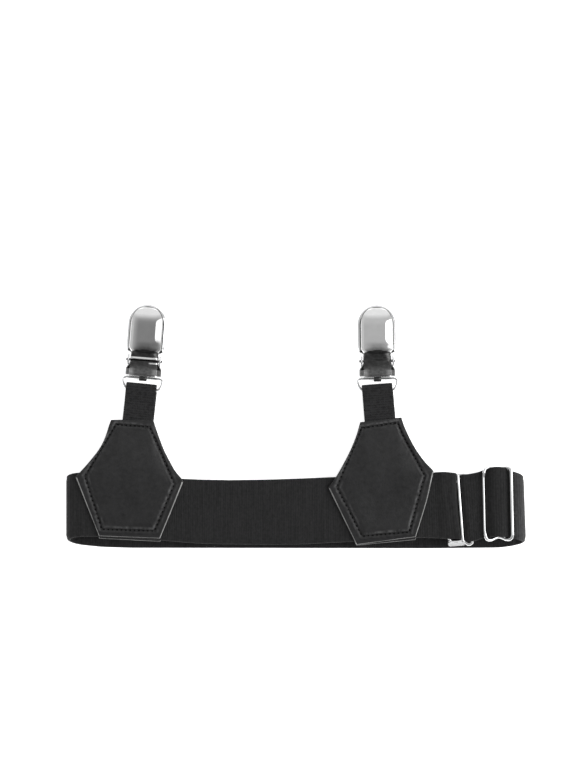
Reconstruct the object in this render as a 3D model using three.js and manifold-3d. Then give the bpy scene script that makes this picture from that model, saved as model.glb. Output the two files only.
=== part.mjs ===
// Sock suspender: an elastic calf band with two leather patches, each of which
// carries a short strap, a D-ring and a spring clip. Millimetres, +Z up. The band
// lies flat as a long loop on its lower layer, and the clips point along +Y.

import * as THREE from 'three';
import { mergeVertices } from 'three/addons/utils/BufferGeometryUtils.js';
import Module from 'manifold-3d';

const wasm = await Module();
wasm.setup();

// Driving dimensions

const elasticThickness = 1.2;
const leatherThickness = 1.0;
const gap = 0.3;
const wireRadius = 0.75;
const loopLeft = -102.8;
const loopRight = 103.3;
const floorLayerZ = elasticThickness / 2;
const frontLayerZ = 8.0;
const hardwareLayerZ = 9.0;
const sliderLayerZ = 8.7;
const bumpZ = 10.7;
const wrapRadius = wireRadius + gap + elasticThickness / 2;
const barZ = hardwareLayerZ - wrapRadius;
const returnLayerZ = barZ - wrapRadius;
const sewnEndZ = returnLayerZ + elasticThickness + gap;

// The connector and the slider are three-bar frames. Bars are given by their
// offset across the frame, and the frame leans about its centre, in degrees.

const connector = {
  x: 74.3, y: -37.45, lean: 4.3, leftBar: -6.1, rightBar: 4.0,
  top: 16.1, stripTop: -13.9, stripBottom: -16.85, stripThickness: 1.1,
};
const slider = {
  x: 90.9, y: -35.35, lean: 1.3, halfPitch: 6.05, halfHeight: 16.15,
  cupOffset: 3.06, peakDepth: 1.8, outerBarZ: sliderLayerZ + elasticThickness / 2 + gap + wireRadius,
};

const strap = {
  halfWidth: 6.9, halfThickness: 0.9, noseRadius: 1.7, holeRadius: 0.8,
  noseOffset: 1.3, holeStart: -0.6, length: 35.2,
};
const ring = {
  wireRadius: 0.5, height: 5.4, topHalf: 8.0, bulgeHalf: 8.9, lowerHalf: 6.6,
  topZ: 1.4, lowerZ: 2.2,
};
const clip = {
  sheet: 0.6, pinZ: 2.2, pinRadius: 0.6, pinHalf: 8.2, hingeY: -7.9, tailY: -7.0,
  earInner: 6.9, earHalf: 2.4, earTop: 3.7, tongueHalf: 1.7, curlRadius: 1.4,
  coilRadius: 0.94, coilWire: 0.2, coilHalf: 4.6, coilTurns: 7,
  jawEarInner: 5.45, jawEarHalf: 1.4, jawEarBottom: 0.95, jawEarTop: 3.9,
  mouth: 25.5, billHalf: 8.7, billRound: 9.2, billStart: 9.0, tailHalf: 7.9, waistHalf: 6.3,
};

// Where each clip's hinge bar lies, and how the strap and the clip below it turn

const sides = [
  { name: 'left', x: -68.8, y: 21.4, clipTurn: -4.5, strapTurn: -5.7, strapX: -69.6, strapY: 16.0 },
  { name: 'right', x: 37.1, y: 21.1, clipTurn: 0.8, strapTurn: 4.5, strapX: 37.0, strapY: 15.7 },
];

// Chords of each patch from top to bottom: left end and right end

const patchChords = {
  left: [
    { lx: -83.0, ly: 2.5, rx: -64.1, ry: 2.6 },
    { lx: -83.9, ly: 0.0, rx: -63.2, ry: -0.2 },
    { lx: -85.7, ly: -5.6, rx: -61.1, ry: -6.0 },
    { lx: -88.2, ly: -10.6, rx: -58.9, ry: -11.4 },
    { lx: -92.1, ly: -15.7, rx: -56.4, ry: -16.2 },
    { lx: -95.3, ly: -19.4, rx: -54.0, ry: -20.4 },
    { lx: -98.6, ly: -23.0, rx: -50.2, ry: -25.0 },
    { lx: -93.4, ly: -36.2, rx: -55.4, ry: -37.8 },
    { lx: -88.1, ly: -49.5, rx: -60.7, ry: -50.6 },
  ],
  right: [
    { lx: 29.2, ly: 1.4, rx: 47.8, ry: 3.6 },
    { lx: 28.3, ly: -1.8, rx: 49.0, ry: -0.2 },
    { lx: 26.9, ly: -6.0, rx: 51.6, ry: -6.0 },
    { lx: 24.7, ly: -11.2, rx: 54.6, ry: -11.4 },
    { lx: 21.6, ly: -17.2, rx: 58.1, ry: -16.2 },
    { lx: 18.0, ly: -23.5, rx: 60.4, ry: -18.6 },
    { lx: 14.8, ly: -27.8, rx: 62.0, ry: -20.4 },
    { lx: 21.1, ly: -40.7, rx: 58.9, ry: -34.0 },
    { lx: 27.4, ly: -53.4, rx: 54.0, ry: -49.9 },
  ],
};
const backLeatherDrop = 1.2;

// Rows along the band: x and z of its middle, lean of the row in degrees, and
// the y of its lower and upper edges. A row with an arc turns round a fold. The
// one length of elastic is two solids, which meet on the floor layer at seamX.

const leftFoldRadius = (frontLayerZ - floorLayerZ) / 2;
const rightFoldRadius = (sliderLayerZ - floorLayerZ) / 2;
const leftFoldX = loopLeft + elasticThickness / 2 + leftFoldRadius;
const rightFoldX = loopRight - elasticThickness / 2 - rightFoldRadius;
const sewnFoldX = connector.x + connector.leftBar + 2.2;
const returnFoldX = connector.x + connector.rightBar - 0.6;
const centreFoldX = slider.x + 0.6;
const seamX = 62.0;

const bandRows = [
  { x: 64.4, z: returnLayerZ, lean: 3.4, lower: -50.0, upper: -23.0 },
  { x: sewnFoldX, z: returnLayerZ, lean: 4.3, lower: -50.7, upper: -22.7 },
  { x: sewnFoldX, z: hardwareLayerZ, lean: 4.3, lower: -50.9, upper: -22.5,
    arc: { z: barZ, radius: wrapRadius } },
  { x: 67.4, z: hardwareLayerZ, lean: 4.0, lower: -50.9, upper: -21.9 },
  { x: 63.0, z: frontLayerZ, lean: 2.4, lower: -50.6, upper: -21.6, smooth: true },
  { x: 55.0, z: frontLayerZ, lean: 0.5, lower: -50.4, upper: -22.0 },
  { x: 36.0, z: frontLayerZ, lean: 0, lower: -51.6, upper: -22.8 },
  { x: 20.0, z: frontLayerZ, lean: 0, lower: -52.5, upper: -23.4 },
  { x: 2.0, z: frontLayerZ, lean: 0, lower: -53.4, upper: -24.6 },
  { x: -14.0, z: frontLayerZ, lean: 0, lower: -53.5, upper: -25.3 },
  { x: -29.0, z: frontLayerZ, lean: 0, lower: -53.4, upper: -25.5 },
  { x: -42.0, z: frontLayerZ, lean: 0, lower: -53.2, upper: -25.0 },
  { x: -51.5, z: frontLayerZ, lean: 0, lower: -52.8, upper: -24.0 },
  { x: -74.0, z: frontLayerZ, lean: 0, lower: -51.0, upper: -22.2 },
  { x: -90.0, z: frontLayerZ, lean: 0, lower: -50.4, upper: -21.2 },
  { x: leftFoldX, z: frontLayerZ, lean: 0, lower: -50.4, upper: -21.3 },
  { x: leftFoldX, z: floorLayerZ, lean: 0, lower: -52.9, upper: -24.3,
    arc: { z: floorLayerZ + leftFoldRadius, radius: -leftFoldRadius } },
  { x: -87.5, z: floorLayerZ, lean: 0, lower: -54.3, upper: -25.4 },
  { x: -74.0, z: floorLayerZ, lean: 0, lower: -54.8, upper: -26.0 },
  { x: seamX, z: floorLayerZ, lean: 0, lower: -54.9, upper: -26.0 },
];
const adjusterRows = [
  { x: seamX + gap, z: floorLayerZ, lean: 0, lower: -54.9, upper: -26.0 },
  { x: 92.0, z: floorLayerZ, lean: 1.2, lower: -54.5, upper: -25.6 },
  { x: rightFoldX, z: floorLayerZ, lean: 2.0, lower: -53.4, upper: -24.8 },
  { x: rightFoldX, z: sliderLayerZ, lean: 2.0, lower: -50.9, upper: -20.8,
    arc: { z: floorLayerZ + rightFoldRadius, radius: rightFoldRadius } },
  { x: 95.6, z: sliderLayerZ, lean: 1.3, lower: -50.3, upper: -20.5 },
  { x: 92.6, z: bumpZ, lean: 1.3, lower: -50.2, upper: -20.5, smooth: true },
  { x: 89.3, z: bumpZ, lean: 1.3, lower: -50.2, upper: -20.5 },
  { x: 86.0, z: sliderLayerZ, lean: 1.3, lower: -50.3, upper: -20.5, smooth: true },
  { x: 83.4, z: sliderLayerZ, lean: 1.9, lower: -50.5, upper: -20.7 },
  { x: 79.6, z: hardwareLayerZ, lean: 3.8, lower: -50.8, upper: -22.2, smooth: true },
  { x: returnFoldX, z: hardwareLayerZ, lean: 4.3, lower: -50.9, upper: -22.5 },
  { x: returnFoldX, z: returnLayerZ, lean: 4.3, lower: -50.6, upper: -22.7,
    arc: { z: barZ, radius: -wrapRadius } },
  { x: 83.0, z: returnLayerZ, lean: 2.2, lower: -49.6, upper: -22.5 },
  { x: centreFoldX, z: returnLayerZ, lean: 1.3, lower: -48.5, upper: -22.2 },
  { x: centreFoldX, z: hardwareLayerZ, lean: 1.3, lower: -48.5, upper: -22.2,
    arc: { z: barZ, radius: wrapRadius } },
  { x: 89.9, z: hardwareLayerZ, lean: 1.3, lower: -48.5, upper: -22.2 },
  { x: 86.5, z: sewnEndZ, lean: 1.3, lower: -48.5, upper: -22.2, smooth: true },
  { x: 83.4, z: sewnEndZ, lean: 1.9, lower: -48.7, upper: -22.4 },
];
const leanPivotY = -36.6;
const arcSteps = 10;
const smoothSteps = 5;

// The domed jaw from its mouth to the tail of its lever: half width, height of
// the lower rim and of the crown

const jawSections = [
  { y: 24.2, half: 2.4, rim: 0.9, crown: 1.8 },
  { y: 23.6, half: 4.2, rim: 0.9, crown: 2.6 },
  { y: 22.4, half: 5.7, rim: 0.9, crown: 3.5 },
  { y: 20.4, half: 6.8, rim: 0.9, crown: 4.5 },
  { y: 17.4, half: 7.35, rim: 0.9, crown: 5.2 },
  { y: 13.0, half: 7.45, rim: 0.9, crown: 5.45 },
  { y: 9.4, half: 7.4, rim: 0.9, crown: 5.4 },
  { y: 6.6, half: 7.15, rim: 0.9, crown: 5.05 },
  { y: 4.6, half: 6.7, rim: 1.3, crown: 4.6 },
  { y: 2.8, half: 6.15, rim: 2.2, crown: 4.3 },
  { y: 0.0, half: 6.15, rim: 3.0, crown: 4.25 },
  { y: -3.4, half: 6.15, rim: 4.0, crown: 5.1 },
  { y: -7.0, half: 6.1, rim: 5.3, crown: 6.3 },
];
const jawArchSteps = 14;
const jawArchPower = 2.7;

// Materials

function finish(color, roughness, metalness) {
  return new THREE.MeshStandardMaterial({ color, roughness, metalness });
}
const elastic = finish(0x262627, 0.9, 0);
const leather = finish(0x2e2e30, 0.6, 0);
const chrome = finish(0xd4d5d7, 0.15, 1);

// Shared geometry helpers

const barFacets = 10;
const wireFacets = 8;

function smoothstep(t) {
  const s = Math.min(Math.max(t, 0), 1);
  return s * s * (3 - 2 * s);
}

function mix(a, b, t) {
  return a + (b - a) * t;
}

// Newell's normal gives a plane in which a section is flat enough to be capped.
function capFaces(section, offset) {
  const normal = new THREE.Vector3();
  section.forEach((p, i) => {
    const q = section[(i + 1) % section.length];
    normal.x += (p.y - q.y) * (p.z + q.z);
    normal.y += (p.z - q.z) * (p.x + q.x);
    normal.z += (p.x - q.x) * (p.y + q.y);
  });
  normal.normalize();
  const across = section[1].clone().sub(section[0]).normalize();
  const up = normal.clone().cross(across).normalize();
  const flat = section.map((p) => new THREE.Vector2(p.dot(across), p.dot(up)));
  return THREE.ShapeUtils.triangulateShape(flat, []).map((face) => face.map((i) => i + offset));
}

// A closed solid through sections that all have the same number of points. A
// looped one joins its last section to its first.
function loft(sections, looped = false) {
  const count = sections[0].length;
  const points = sections.flat();
  const faces = [];
  const spans = looped ? sections.length : sections.length - 1;
  for (let s = 0; s < spans; s += 1) {
    const here = s * count;
    const there = ((s + 1) % sections.length) * count;
    for (let i = 0; i < count; i += 1) {
      const j = (i + 1) % count;
      faces.push([here + i, here + j, there + j], [here + i, there + j, there + i]);
    }
  }
  if (!looped) {
    const last = (sections.length - 1) * count;
    faces.push(...capFaces(sections[0], 0).map((face) => face.reverse()));
    faces.push(...capFaces(sections[sections.length - 1], last));
  }
  let volume = 0;
  for (const [a, b, c] of faces) {
    volume += points[a].dot(points[b].clone().cross(points[c]));
  }
  if (volume < 0) {
    faces.forEach((face) => face.reverse());
  }
  const geometry = new THREE.BufferGeometry();
  const positions = points.flatMap((p) => p.toArray());
  geometry.setAttribute('position', new THREE.Float32BufferAttribute(positions, 3));
  geometry.setIndex(faces.flat());
  return geometry;
}

// A round wire along a curve that stays near the XY plane, closed on itself
function wireLoop(curve, radius, steps) {
  const sections = [];
  for (let i = 0; i < steps; i += 1) {
    const centre = curve.getPointAt(i / steps);
    const along = curve.getTangentAt(i / steps);
    const side = new THREE.Vector3(along.y, -along.x, 0).normalize();
    const up = side.clone().cross(along);
    const section = [];
    for (let k = 0; k < wireFacets; k += 1) {
      const angle = ((k + 0.5) / wireFacets) * Math.PI * 2;
      section.push(centre.clone()
        .addScaledVector(side, radius * Math.cos(angle))
        .addScaledVector(up, radius * Math.sin(angle)));
    }
    sections.push(section);
  }
  return loft(sections, true);
}

function toSolid(geometry) {
  const bare = geometry.clone();
  bare.deleteAttribute('normal');
  bare.deleteAttribute('uv');
  const merged = mergeVertices(bare, 1e-4);
  return new wasm.Manifold(new wasm.Mesh({
    numProp: 3,
    vertProperties: new Float32Array(merged.attributes.position.array),
    triVerts: new Uint32Array(merged.index.array),
  }));
}

function toGeometry(solid) {
  const mesh = solid.getMesh();
  const geometry = new THREE.BufferGeometry();
  geometry.setAttribute('position', new THREE.BufferAttribute(mesh.vertProperties, 3));
  geometry.setIndex(new THREE.BufferAttribute(mesh.triVerts, 1));
  geometry.computeVertexNormals();
  return geometry;
}

function join(geometries) {
  return geometries.map(toSolid).reduce((whole, piece) => whole.add(piece));
}

function piece(name, geometry, material) {
  const mesh = new THREE.Mesh(geometry, material);
  mesh.name = name;
  return mesh;
}

// A straight round bar along Y
function bar(radius, length, x, y, z) {
  return new THREE.CylinderGeometry(radius, radius, length, barFacets).translate(x, y, z);
}

// A flat plate of an outline in XY, from z upwards
function plate(shape, z, thickness, curveSegments = 6) {
  const geometry = new THREE.ExtrudeGeometry(shape, {
    depth: thickness, bevelEnabled: false, curveSegments,
  });
  return geometry.translate(0, 0, z);
}

// A plate whose outline is given in (y, z), centred on x = 0
function sidePlate(shape, halfWidth, curveSegments = 6) {
  const geometry = new THREE.ExtrudeGeometry(shape, {
    depth: 2 * halfWidth, bevelEnabled: false, curveSegments,
  });
  const toYZ = new THREE.Matrix4().set(0, 0, 1, 0, 1, 0, 0, 0, 0, 1, 0, 0, 0, 0, 0, 1);
  return geometry.translate(0, 0, -halfWidth).applyMatrix4(toYZ);
}

// Elastic band

function bandStations(rows) {
  const stations = [rows[0]];
  for (let i = 1; i < rows.length; i += 1) {
    const from = rows[i - 1];
    const to = rows[i];
    const steps = to.arc ? arcSteps : to.smooth ? smoothSteps : 1;
    for (let k = 1; k <= steps; k += 1) {
      const t = k / steps;
      const station = {
        x: mix(from.x, to.x, t),
        z: to.smooth ? mix(from.z, to.z, smoothstep(t)) : mix(from.z, to.z, t),
        lean: mix(from.lean, to.lean, t),
        lower: mix(from.lower, to.lower, t),
        upper: mix(from.upper, to.upper, t),
      };
      if (to.arc) {
        const turn = Math.PI * (to.z > from.z ? t - 0.5 : 0.5 - t);
        station.x = from.x + to.arc.radius * Math.cos(turn);
        station.z = to.arc.z + Math.abs(to.arc.radius) * Math.sin(turn);
      }
      stations.push(station);
    }
  }
  return stations;
}

function bandGeometry(rows) {
  const stations = bandStations(rows);
  const half = elasticThickness / 2;
  const sections = stations.map((here, i) => {
    const before = stations[Math.max(i - 1, 0)];
    const after = stations[Math.min(i + 1, stations.length - 1)];
    const along = new THREE.Vector2(after.x - before.x, after.z - before.z).normalize();
    const slope = Math.tan(THREE.MathUtils.degToRad(here.lean));
    const corner = (y, side) => new THREE.Vector3(
      here.x - side * half * along.y - slope * (y - leanPivotY),
      y,
      here.z + side * half * along.x,
    );
    return [corner(here.lower, -1), corner(here.upper, -1), corner(here.upper, 1), corner(here.lower, 1)];
  });
  return loft(sections);
}

// Middle height of what the patches hold: level along the band, then down to
// the D-ring, by the distance along the strap from the ring's lower bar.
const slopeStart = 1.0;
const slopeLength = 38.5;
function strapHeight(distance) {
  return mix(ring.lowerZ, frontLayerZ, smoothstep((distance - slopeStart) / slopeLength));
}

function strapDistance(side, x, y) {
  const turn = THREE.MathUtils.degToRad(side.strapTurn);
  return (x - side.strapX) * Math.sin(turn) - (y - side.strapY) * Math.cos(turn);
}

// The two leathers of a patch stand closer over the band than over the strap.
const closeHalf = elasticThickness / 2 + gap;
const openHalf = strap.halfThickness + gap;
const openStart = 36.2;
const openLength = 4.0;
const patchColumns = 6;
const patchRowsPerChord = 2;

function patchGeometry(side, chords, facing) {
  const sections = [];
  for (let c = 0; c < chords.length - 1; c += 1) {
    const lastStep = c === chords.length - 2 ? patchRowsPerChord : patchRowsPerChord - 1;
    for (let k = 0; k <= lastStep; k += 1) {
      const t = k / patchRowsPerChord;
      const row = {};
      for (const key of ['lx', 'ly', 'rx', 'ry']) {
        row[key] = mix(chords[c][key], chords[c + 1][key], t);
      }
      const inner = [];
      for (let i = 0; i <= patchColumns; i += 1) {
        const x = mix(row.lx, row.rx, i / patchColumns);
        const y = mix(row.ly, row.ry, i / patchColumns);
        const distance = strapDistance(side, x, y);
        const clearance = mix(openHalf, closeHalf, smoothstep((distance - openStart) / openLength));
        inner.push(new THREE.Vector3(x, y, strapHeight(distance) + facing * clearance));
      }
      const outer = inner.map((p) => new THREE.Vector3(p.x, p.y, p.z + facing * leatherThickness));
      sections.push([...inner, ...outer.reverse()]);
    }
  }
  return loft(sections);
}

// Strap: one folded length, open only where the D-ring's lower bar lies

function strapGeometry() {
  const steps = 14;
  const neckLength = 4.5;
  const upperEdge = [];
  const lowerEdge = [];
  for (let i = 0; i <= steps; i += 1) {
    const distance = mix(strap.length, 0, i / steps);
    const half = mix(strap.noseRadius, strap.halfThickness, smoothstep(distance / neckLength));
    upperEdge.push(new THREE.Vector2(-distance, strapHeight(distance) + half));
    lowerEdge.push(new THREE.Vector2(-distance, strapHeight(distance) - half));
  }
  const shape = new THREE.Shape();
  shape.setFromPoints([...lowerEdge]);
  shape.lineTo(strap.noseOffset, ring.lowerZ - strap.noseRadius);
  shape.absarc(strap.noseOffset, ring.lowerZ, strap.noseRadius, -Math.PI / 2, Math.PI / 2, false);
  upperEdge.reverse().forEach((p) => shape.lineTo(p.x, p.y));
  shape.closePath();
  const hole = new THREE.Path();
  hole.absarc(strap.noseOffset, ring.lowerZ, strap.holeRadius, -Math.PI / 2, Math.PI / 2, false);
  hole.absarc(strap.holeStart, ring.lowerZ, strap.holeRadius, Math.PI / 2, 1.5 * Math.PI, false);
  hole.closePath();
  shape.holes.push(hole);
  return sidePlate(shape, strap.halfWidth, 8);
}

// Slider: outer wire with M-shaped short sides, and a sunken centre bar

function sliderGeometry() {
  const quarter = [
    { u: slider.halfPitch, w: 0, z: slider.outerBarZ },
    { u: slider.halfPitch, w: slider.halfHeight - 4.0, z: slider.outerBarZ },
    { u: slider.halfPitch - 0.1, w: slider.halfHeight - 1.6, z: slider.outerBarZ },
    { u: slider.halfPitch - 0.7, w: slider.halfHeight - 0.4, z: slider.outerBarZ - 0.2 },
    { u: slider.halfPitch - 1.7, w: slider.halfHeight, z: slider.outerBarZ - 0.7 },
    { u: slider.cupOffset, w: slider.halfHeight - 0.1, z: slider.outerBarZ - 1.5 },
    { u: 1.6, w: slider.halfHeight - 0.8, z: slider.outerBarZ - 2.3 },
  ];
  const peak = { u: 0, w: slider.halfHeight - slider.peakDepth, z: barZ };
  const mirrored = (flipU, flipW) => quarter.map((p) => ({ u: flipU * p.u, w: flipW * p.w, z: p.z }));
  const route = [
    ...mirrored(1, 1),
    peak,
    ...mirrored(-1, 1).reverse(),
    ...mirrored(-1, -1).slice(1),
    { ...peak, w: -peak.w },
    ...mirrored(1, -1).slice(1).reverse(),
  ];
  const points = route.map((p) => new THREE.Vector3(p.u, p.w, p.z));
  const curve = new THREE.CatmullRomCurve3(points, true, 'centripetal');
  const frame = wireLoop(curve, wireRadius, 64);
  const centreBar = bar(wireRadius, 2 * (slider.halfHeight - slider.peakDepth), 0, 0, barZ);
  return toGeometry(join([frame, centreBar]));
}

// Connector: three bars, a wire end at the top and at the bottom a flat strip
// between the left and centre bars and a wire wing to the right bar

function connectorGeometry() {
  const { leftBar, rightBar, top, stripTop, stripBottom, stripThickness } = connector;
  const corner = 1.2;
  const frameCurve = new THREE.CatmullRomCurve3([
    new THREE.Vector3(leftBar, 0, barZ),
    new THREE.Vector3(leftBar, top - 3, barZ),
    new THREE.Vector3(leftBar + 0.3, top - 0.5, barZ),
    new THREE.Vector3(leftBar + 1.6, top, barZ),
    new THREE.Vector3(-0.6, top - 0.1, barZ),
    new THREE.Vector3(rightBar - 1.4, top, barZ),
    new THREE.Vector3(rightBar - 0.2, top - 0.5, barZ),
    new THREE.Vector3(rightBar, top - 3, barZ),
    new THREE.Vector3(rightBar, 0, barZ),
    new THREE.Vector3(rightBar, stripTop + 1, barZ),
    new THREE.Vector3(rightBar - 0.2, stripTop - 1.6, barZ),
    new THREE.Vector3(rightBar - 1.6, stripTop - 2.2, barZ),
    new THREE.Vector3(0.4, stripTop - 0.9, barZ),
    new THREE.Vector3(leftBar + 1.2, stripTop - 1.0, barZ),
    new THREE.Vector3(leftBar, stripTop + 1.2, barZ),
  ], true, 'centripetal');
  const strip = new THREE.Shape();
  const left = leftBar - wireRadius;
  const right = wireRadius;
  strip.moveTo(left, stripTop);
  strip.lineTo(left, stripBottom + corner);
  strip.absarc(left + corner, stripBottom + corner, corner, Math.PI, 1.5 * Math.PI, false);
  strip.lineTo(right - corner, stripBottom);
  strip.absarc(right - corner, stripBottom + corner, corner, 1.5 * Math.PI, 2 * Math.PI, false);
  strip.lineTo(right, stripTop);
  strip.closePath();
  const centreLength = top - stripTop + 1;
  return toGeometry(join([
    wireLoop(frameCurve, wireRadius, 60),
    bar(wireRadius, centreLength, 0, (top + stripTop - 1) / 2, barZ),
    plate(strip, barZ - stripThickness / 2, stripThickness),
  ]));
}

// D-ring, with its top bar on the hinge line at the origin

function ringGeometry() {
  const { height, topHalf, bulgeHalf, lowerHalf, topZ, lowerZ } = ring;
  const level = (y) => mix(topZ, lowerZ, -y / height);
  const at = (x, y) => new THREE.Vector3(x, y, level(y));
  const half = [
    at(0, 0), at(topHalf - 2.4, 0), at(topHalf - 0.5, -0.1), at(bulgeHalf - 0.6, -1.4),
    at(bulgeHalf - 0.9, -3.4), at(lowerHalf + 0.3, -height + 0.3), at(lowerHalf - 1.4, -height),
    at(0, -height),
  ];
  const mirror = half.slice(1, -1).reverse().map((p) => new THREE.Vector3(-p.x, p.y, p.z));
  const curve = new THREE.CatmullRomCurve3([...half, ...mirror], true, 'centripetal');
  return wireLoop(curve, ring.wireRadius, 36);
}

// Clip base: floor plate, two ears for the pin and the tongue round the ring.
// The clip's own frame has the pin above its origin and the mouth along +Y.

function clipBaseGeometry() {
  const { sheet, pinZ, pinRadius, hingeY, tailY, earInner, earHalf, earTop } = clip;
  const { mouth, billHalf, billRound, billStart, tailHalf, waistHalf } = clip;
  const roundStart = mouth - billRound;
  const waistEnd = 3.2;
  const shoulder = { x: 8.2, y: 4.2, bendY: 6.5 };
  const outline = new THREE.Shape();
  outline.moveTo(tailHalf, tailY);
  outline.lineTo(tailHalf, -waistEnd - 0.8);
  outline.lineTo(waistHalf, -waistEnd);
  outline.lineTo(waistHalf, waistEnd);
  outline.lineTo(shoulder.x, shoulder.y);
  outline.quadraticCurveTo(billHalf, shoulder.bendY, billHalf, billStart);
  outline.lineTo(billHalf, roundStart);
  outline.absellipse(0, roundStart, billHalf, billRound, 0, Math.PI, false, 0);
  outline.lineTo(-billHalf, billStart);
  outline.quadraticCurveTo(-billHalf, shoulder.bendY, -shoulder.x, shoulder.y);
  outline.lineTo(-waistHalf, waistEnd);
  outline.lineTo(-waistHalf, -waistEnd);
  outline.lineTo(-tailHalf, -waistEnd - 0.8);
  outline.lineTo(-tailHalf, tailY);
  outline.closePath();

  const ear = new THREE.Shape();
  ear.moveTo(-earHalf, 0);
  ear.lineTo(earHalf, 0);
  ear.lineTo(earHalf - 0.4, earTop - 1.2);
  ear.quadraticCurveTo(earHalf - 0.6, earTop, 0, earTop);
  ear.quadraticCurveTo(-earHalf + 0.6, earTop, -earHalf + 0.4, earTop - 1.2);
  ear.closePath();
  const bore = new THREE.Path();
  bore.absarc(0, pinZ, pinRadius + gap, 0, 2 * Math.PI, false);
  ear.holes.push(bore);
  const earPlates = [1, -1].flatMap((flip) => [
    sidePlate(ear, sheet / 2, 5).translate(flip * (earInner + sheet / 2), 0, 0),
    new THREE.BoxGeometry(1.5, 2 * earHalf, sheet).translate(flip * (earInner - 0.2), 0, sheet / 2),
  ]);

  const curl = new THREE.Shape();
  const curlEnd = THREE.MathUtils.degToRad(40);
  const inner = clip.curlRadius - sheet;
  curl.moveTo(tailY + 0.8, 0);
  curl.lineTo(tailY + 0.8, sheet);
  curl.lineTo(hingeY, sheet);
  curl.absarc(hingeY, ring.topZ, inner, -Math.PI / 2, curlEnd, true);
  curl.absarc(hingeY, ring.topZ, clip.curlRadius, curlEnd, 1.5 * Math.PI, false);
  curl.closePath();

  return toGeometry(join([
    plate(outline, 0, sheet, 10),
    ...earPlates,
    sidePlate(curl, clip.tongueHalf, 8),
  ]));
}

// Clip jaw: a domed bill, a neck over the pin and a lever, with ears inside

function clipJawGeometry() {
  const { sheet, pinZ, pinRadius, jawEarInner, jawEarHalf, jawEarBottom, jawEarTop } = clip;
  const arch = (half, height, rim, y) => {
    const points = [];
    for (let i = 0; i <= jawArchSteps; i += 1) {
      const angle = Math.PI * (i / jawArchSteps);
      const across = Math.sign(Math.cos(angle)) * Math.abs(Math.cos(angle)) ** (2 / jawArchPower);
      const rise = Math.sin(angle) ** (2 / jawArchPower);
      points.push(new THREE.Vector3(half * across, y, rim + height * rise));
    }
    return points;
  };
  const sections = jawSections.map(({ y, half, rim, crown }) => [
    ...arch(half, crown - rim, rim, y),
    ...arch(half - sheet, crown - rim - sheet, rim, y).reverse(),
  ]);
  const ear = new THREE.Shape();
  ear.moveTo(-jawEarHalf, jawEarBottom);
  ear.lineTo(jawEarHalf, jawEarBottom);
  ear.lineTo(jawEarHalf, jawEarTop);
  ear.lineTo(-jawEarHalf, jawEarTop);
  ear.closePath();
  const bore = new THREE.Path();
  bore.absarc(0, pinZ, pinRadius + gap, 0, 2 * Math.PI, false);
  ear.holes.push(bore);
  const ears = [1, -1].map((flip) => (
    sidePlate(ear, sheet / 2, 5).translate(flip * (jawEarInner + sheet / 2), 0, 0)
  ));
  return toGeometry(join([loft(sections), ...ears]));
}

function pinGeometry() {
  const { pinRadius, pinHalf, pinZ } = clip;
  const profile = [
    new THREE.Vector2(0, -pinHalf),
    new THREE.Vector2(pinRadius * 0.6, -pinHalf),
    new THREE.Vector2(pinRadius, -pinHalf + 0.3),
    new THREE.Vector2(pinRadius, pinHalf - 0.3),
    new THREE.Vector2(pinRadius * 0.6, pinHalf),
    new THREE.Vector2(0, pinHalf),
  ];
  return new THREE.LatheGeometry(profile, 12).rotateZ(Math.PI / 2).translate(0, 0, pinZ);
}

class Helix extends THREE.Curve {
  getPoint(t, target = new THREE.Vector3()) {
    const angle = 2 * Math.PI * clip.coilTurns * t;
    const x = mix(-clip.coilHalf, clip.coilHalf, t);
    return target.set(x, clip.coilRadius * Math.cos(angle), clip.pinZ + clip.coilRadius * Math.sin(angle));
  }
}

function springGeometry() {
  const section = new THREE.Shape();
  section.absarc(0, 0, clip.coilWire, 0, 2 * Math.PI, false);
  return new THREE.ExtrudeGeometry(section, {
    extrudePath: new Helix(), steps: clip.coilTurns * 8, curveSegments: 3, bevelEnabled: false,
  });
}

// Assembly

const sockSuspender = new THREE.Group();
const placed = new THREE.Group();
sockSuspender.add(placed);

function leaned(geometry, frame) {
  return geometry.rotateZ(THREE.MathUtils.degToRad(frame.lean)).translate(frame.x, frame.y, 0);
}

placed.add(piece('band', bandGeometry(bandRows), elastic));
placed.add(piece('band_adjuster', bandGeometry(adjusterRows), elastic));
placed.add(piece('slider', leaned(sliderGeometry(), slider), chrome));
placed.add(piece('connector', leaned(connectorGeometry(), connector), chrome));

for (const side of sides) {
  const chords = patchChords[side.name];
  const backChords = chords.map((chord, i) => {
    const drop = i === chords.length - 1 ? backLeatherDrop : 0;
    return { ...chord, ly: chord.ly - drop, ry: chord.ry - drop };
  });
  placed.add(piece(`patch_front_${side.name}`, patchGeometry(side, chords, 1), leather));
  placed.add(piece(`patch_back_${side.name}`, patchGeometry(side, backChords, -1), leather));

  const strapPiece = piece(`strap_${side.name}`, strapGeometry(), elastic);
  strapPiece.position.set(side.strapX, side.strapY, 0);
  strapPiece.rotation.z = THREE.MathUtils.degToRad(side.strapTurn);
  placed.add(strapPiece);

  const hinge = new THREE.Group();
  hinge.position.set(side.x, side.y, 0);
  hinge.rotation.z = THREE.MathUtils.degToRad(side.clipTurn);
  hinge.add(piece(`ring_${side.name}`, ringGeometry(), chrome));
  const clipGroup = new THREE.Group();
  clipGroup.position.y = -clip.hingeY;
  clipGroup.add(piece(`clip_base_${side.name}`, clipBaseGeometry(), chrome));
  clipGroup.add(piece(`clip_jaw_${side.name}`, clipJawGeometry(), chrome));
  clipGroup.add(piece(`clip_pin_${side.name}`, pinGeometry(), chrome));
  clipGroup.add(piece(`clip_spring_${side.name}`, springGeometry(), chrome));
  hinge.add(clipGroup);
  placed.add(hinge);
}

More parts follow.
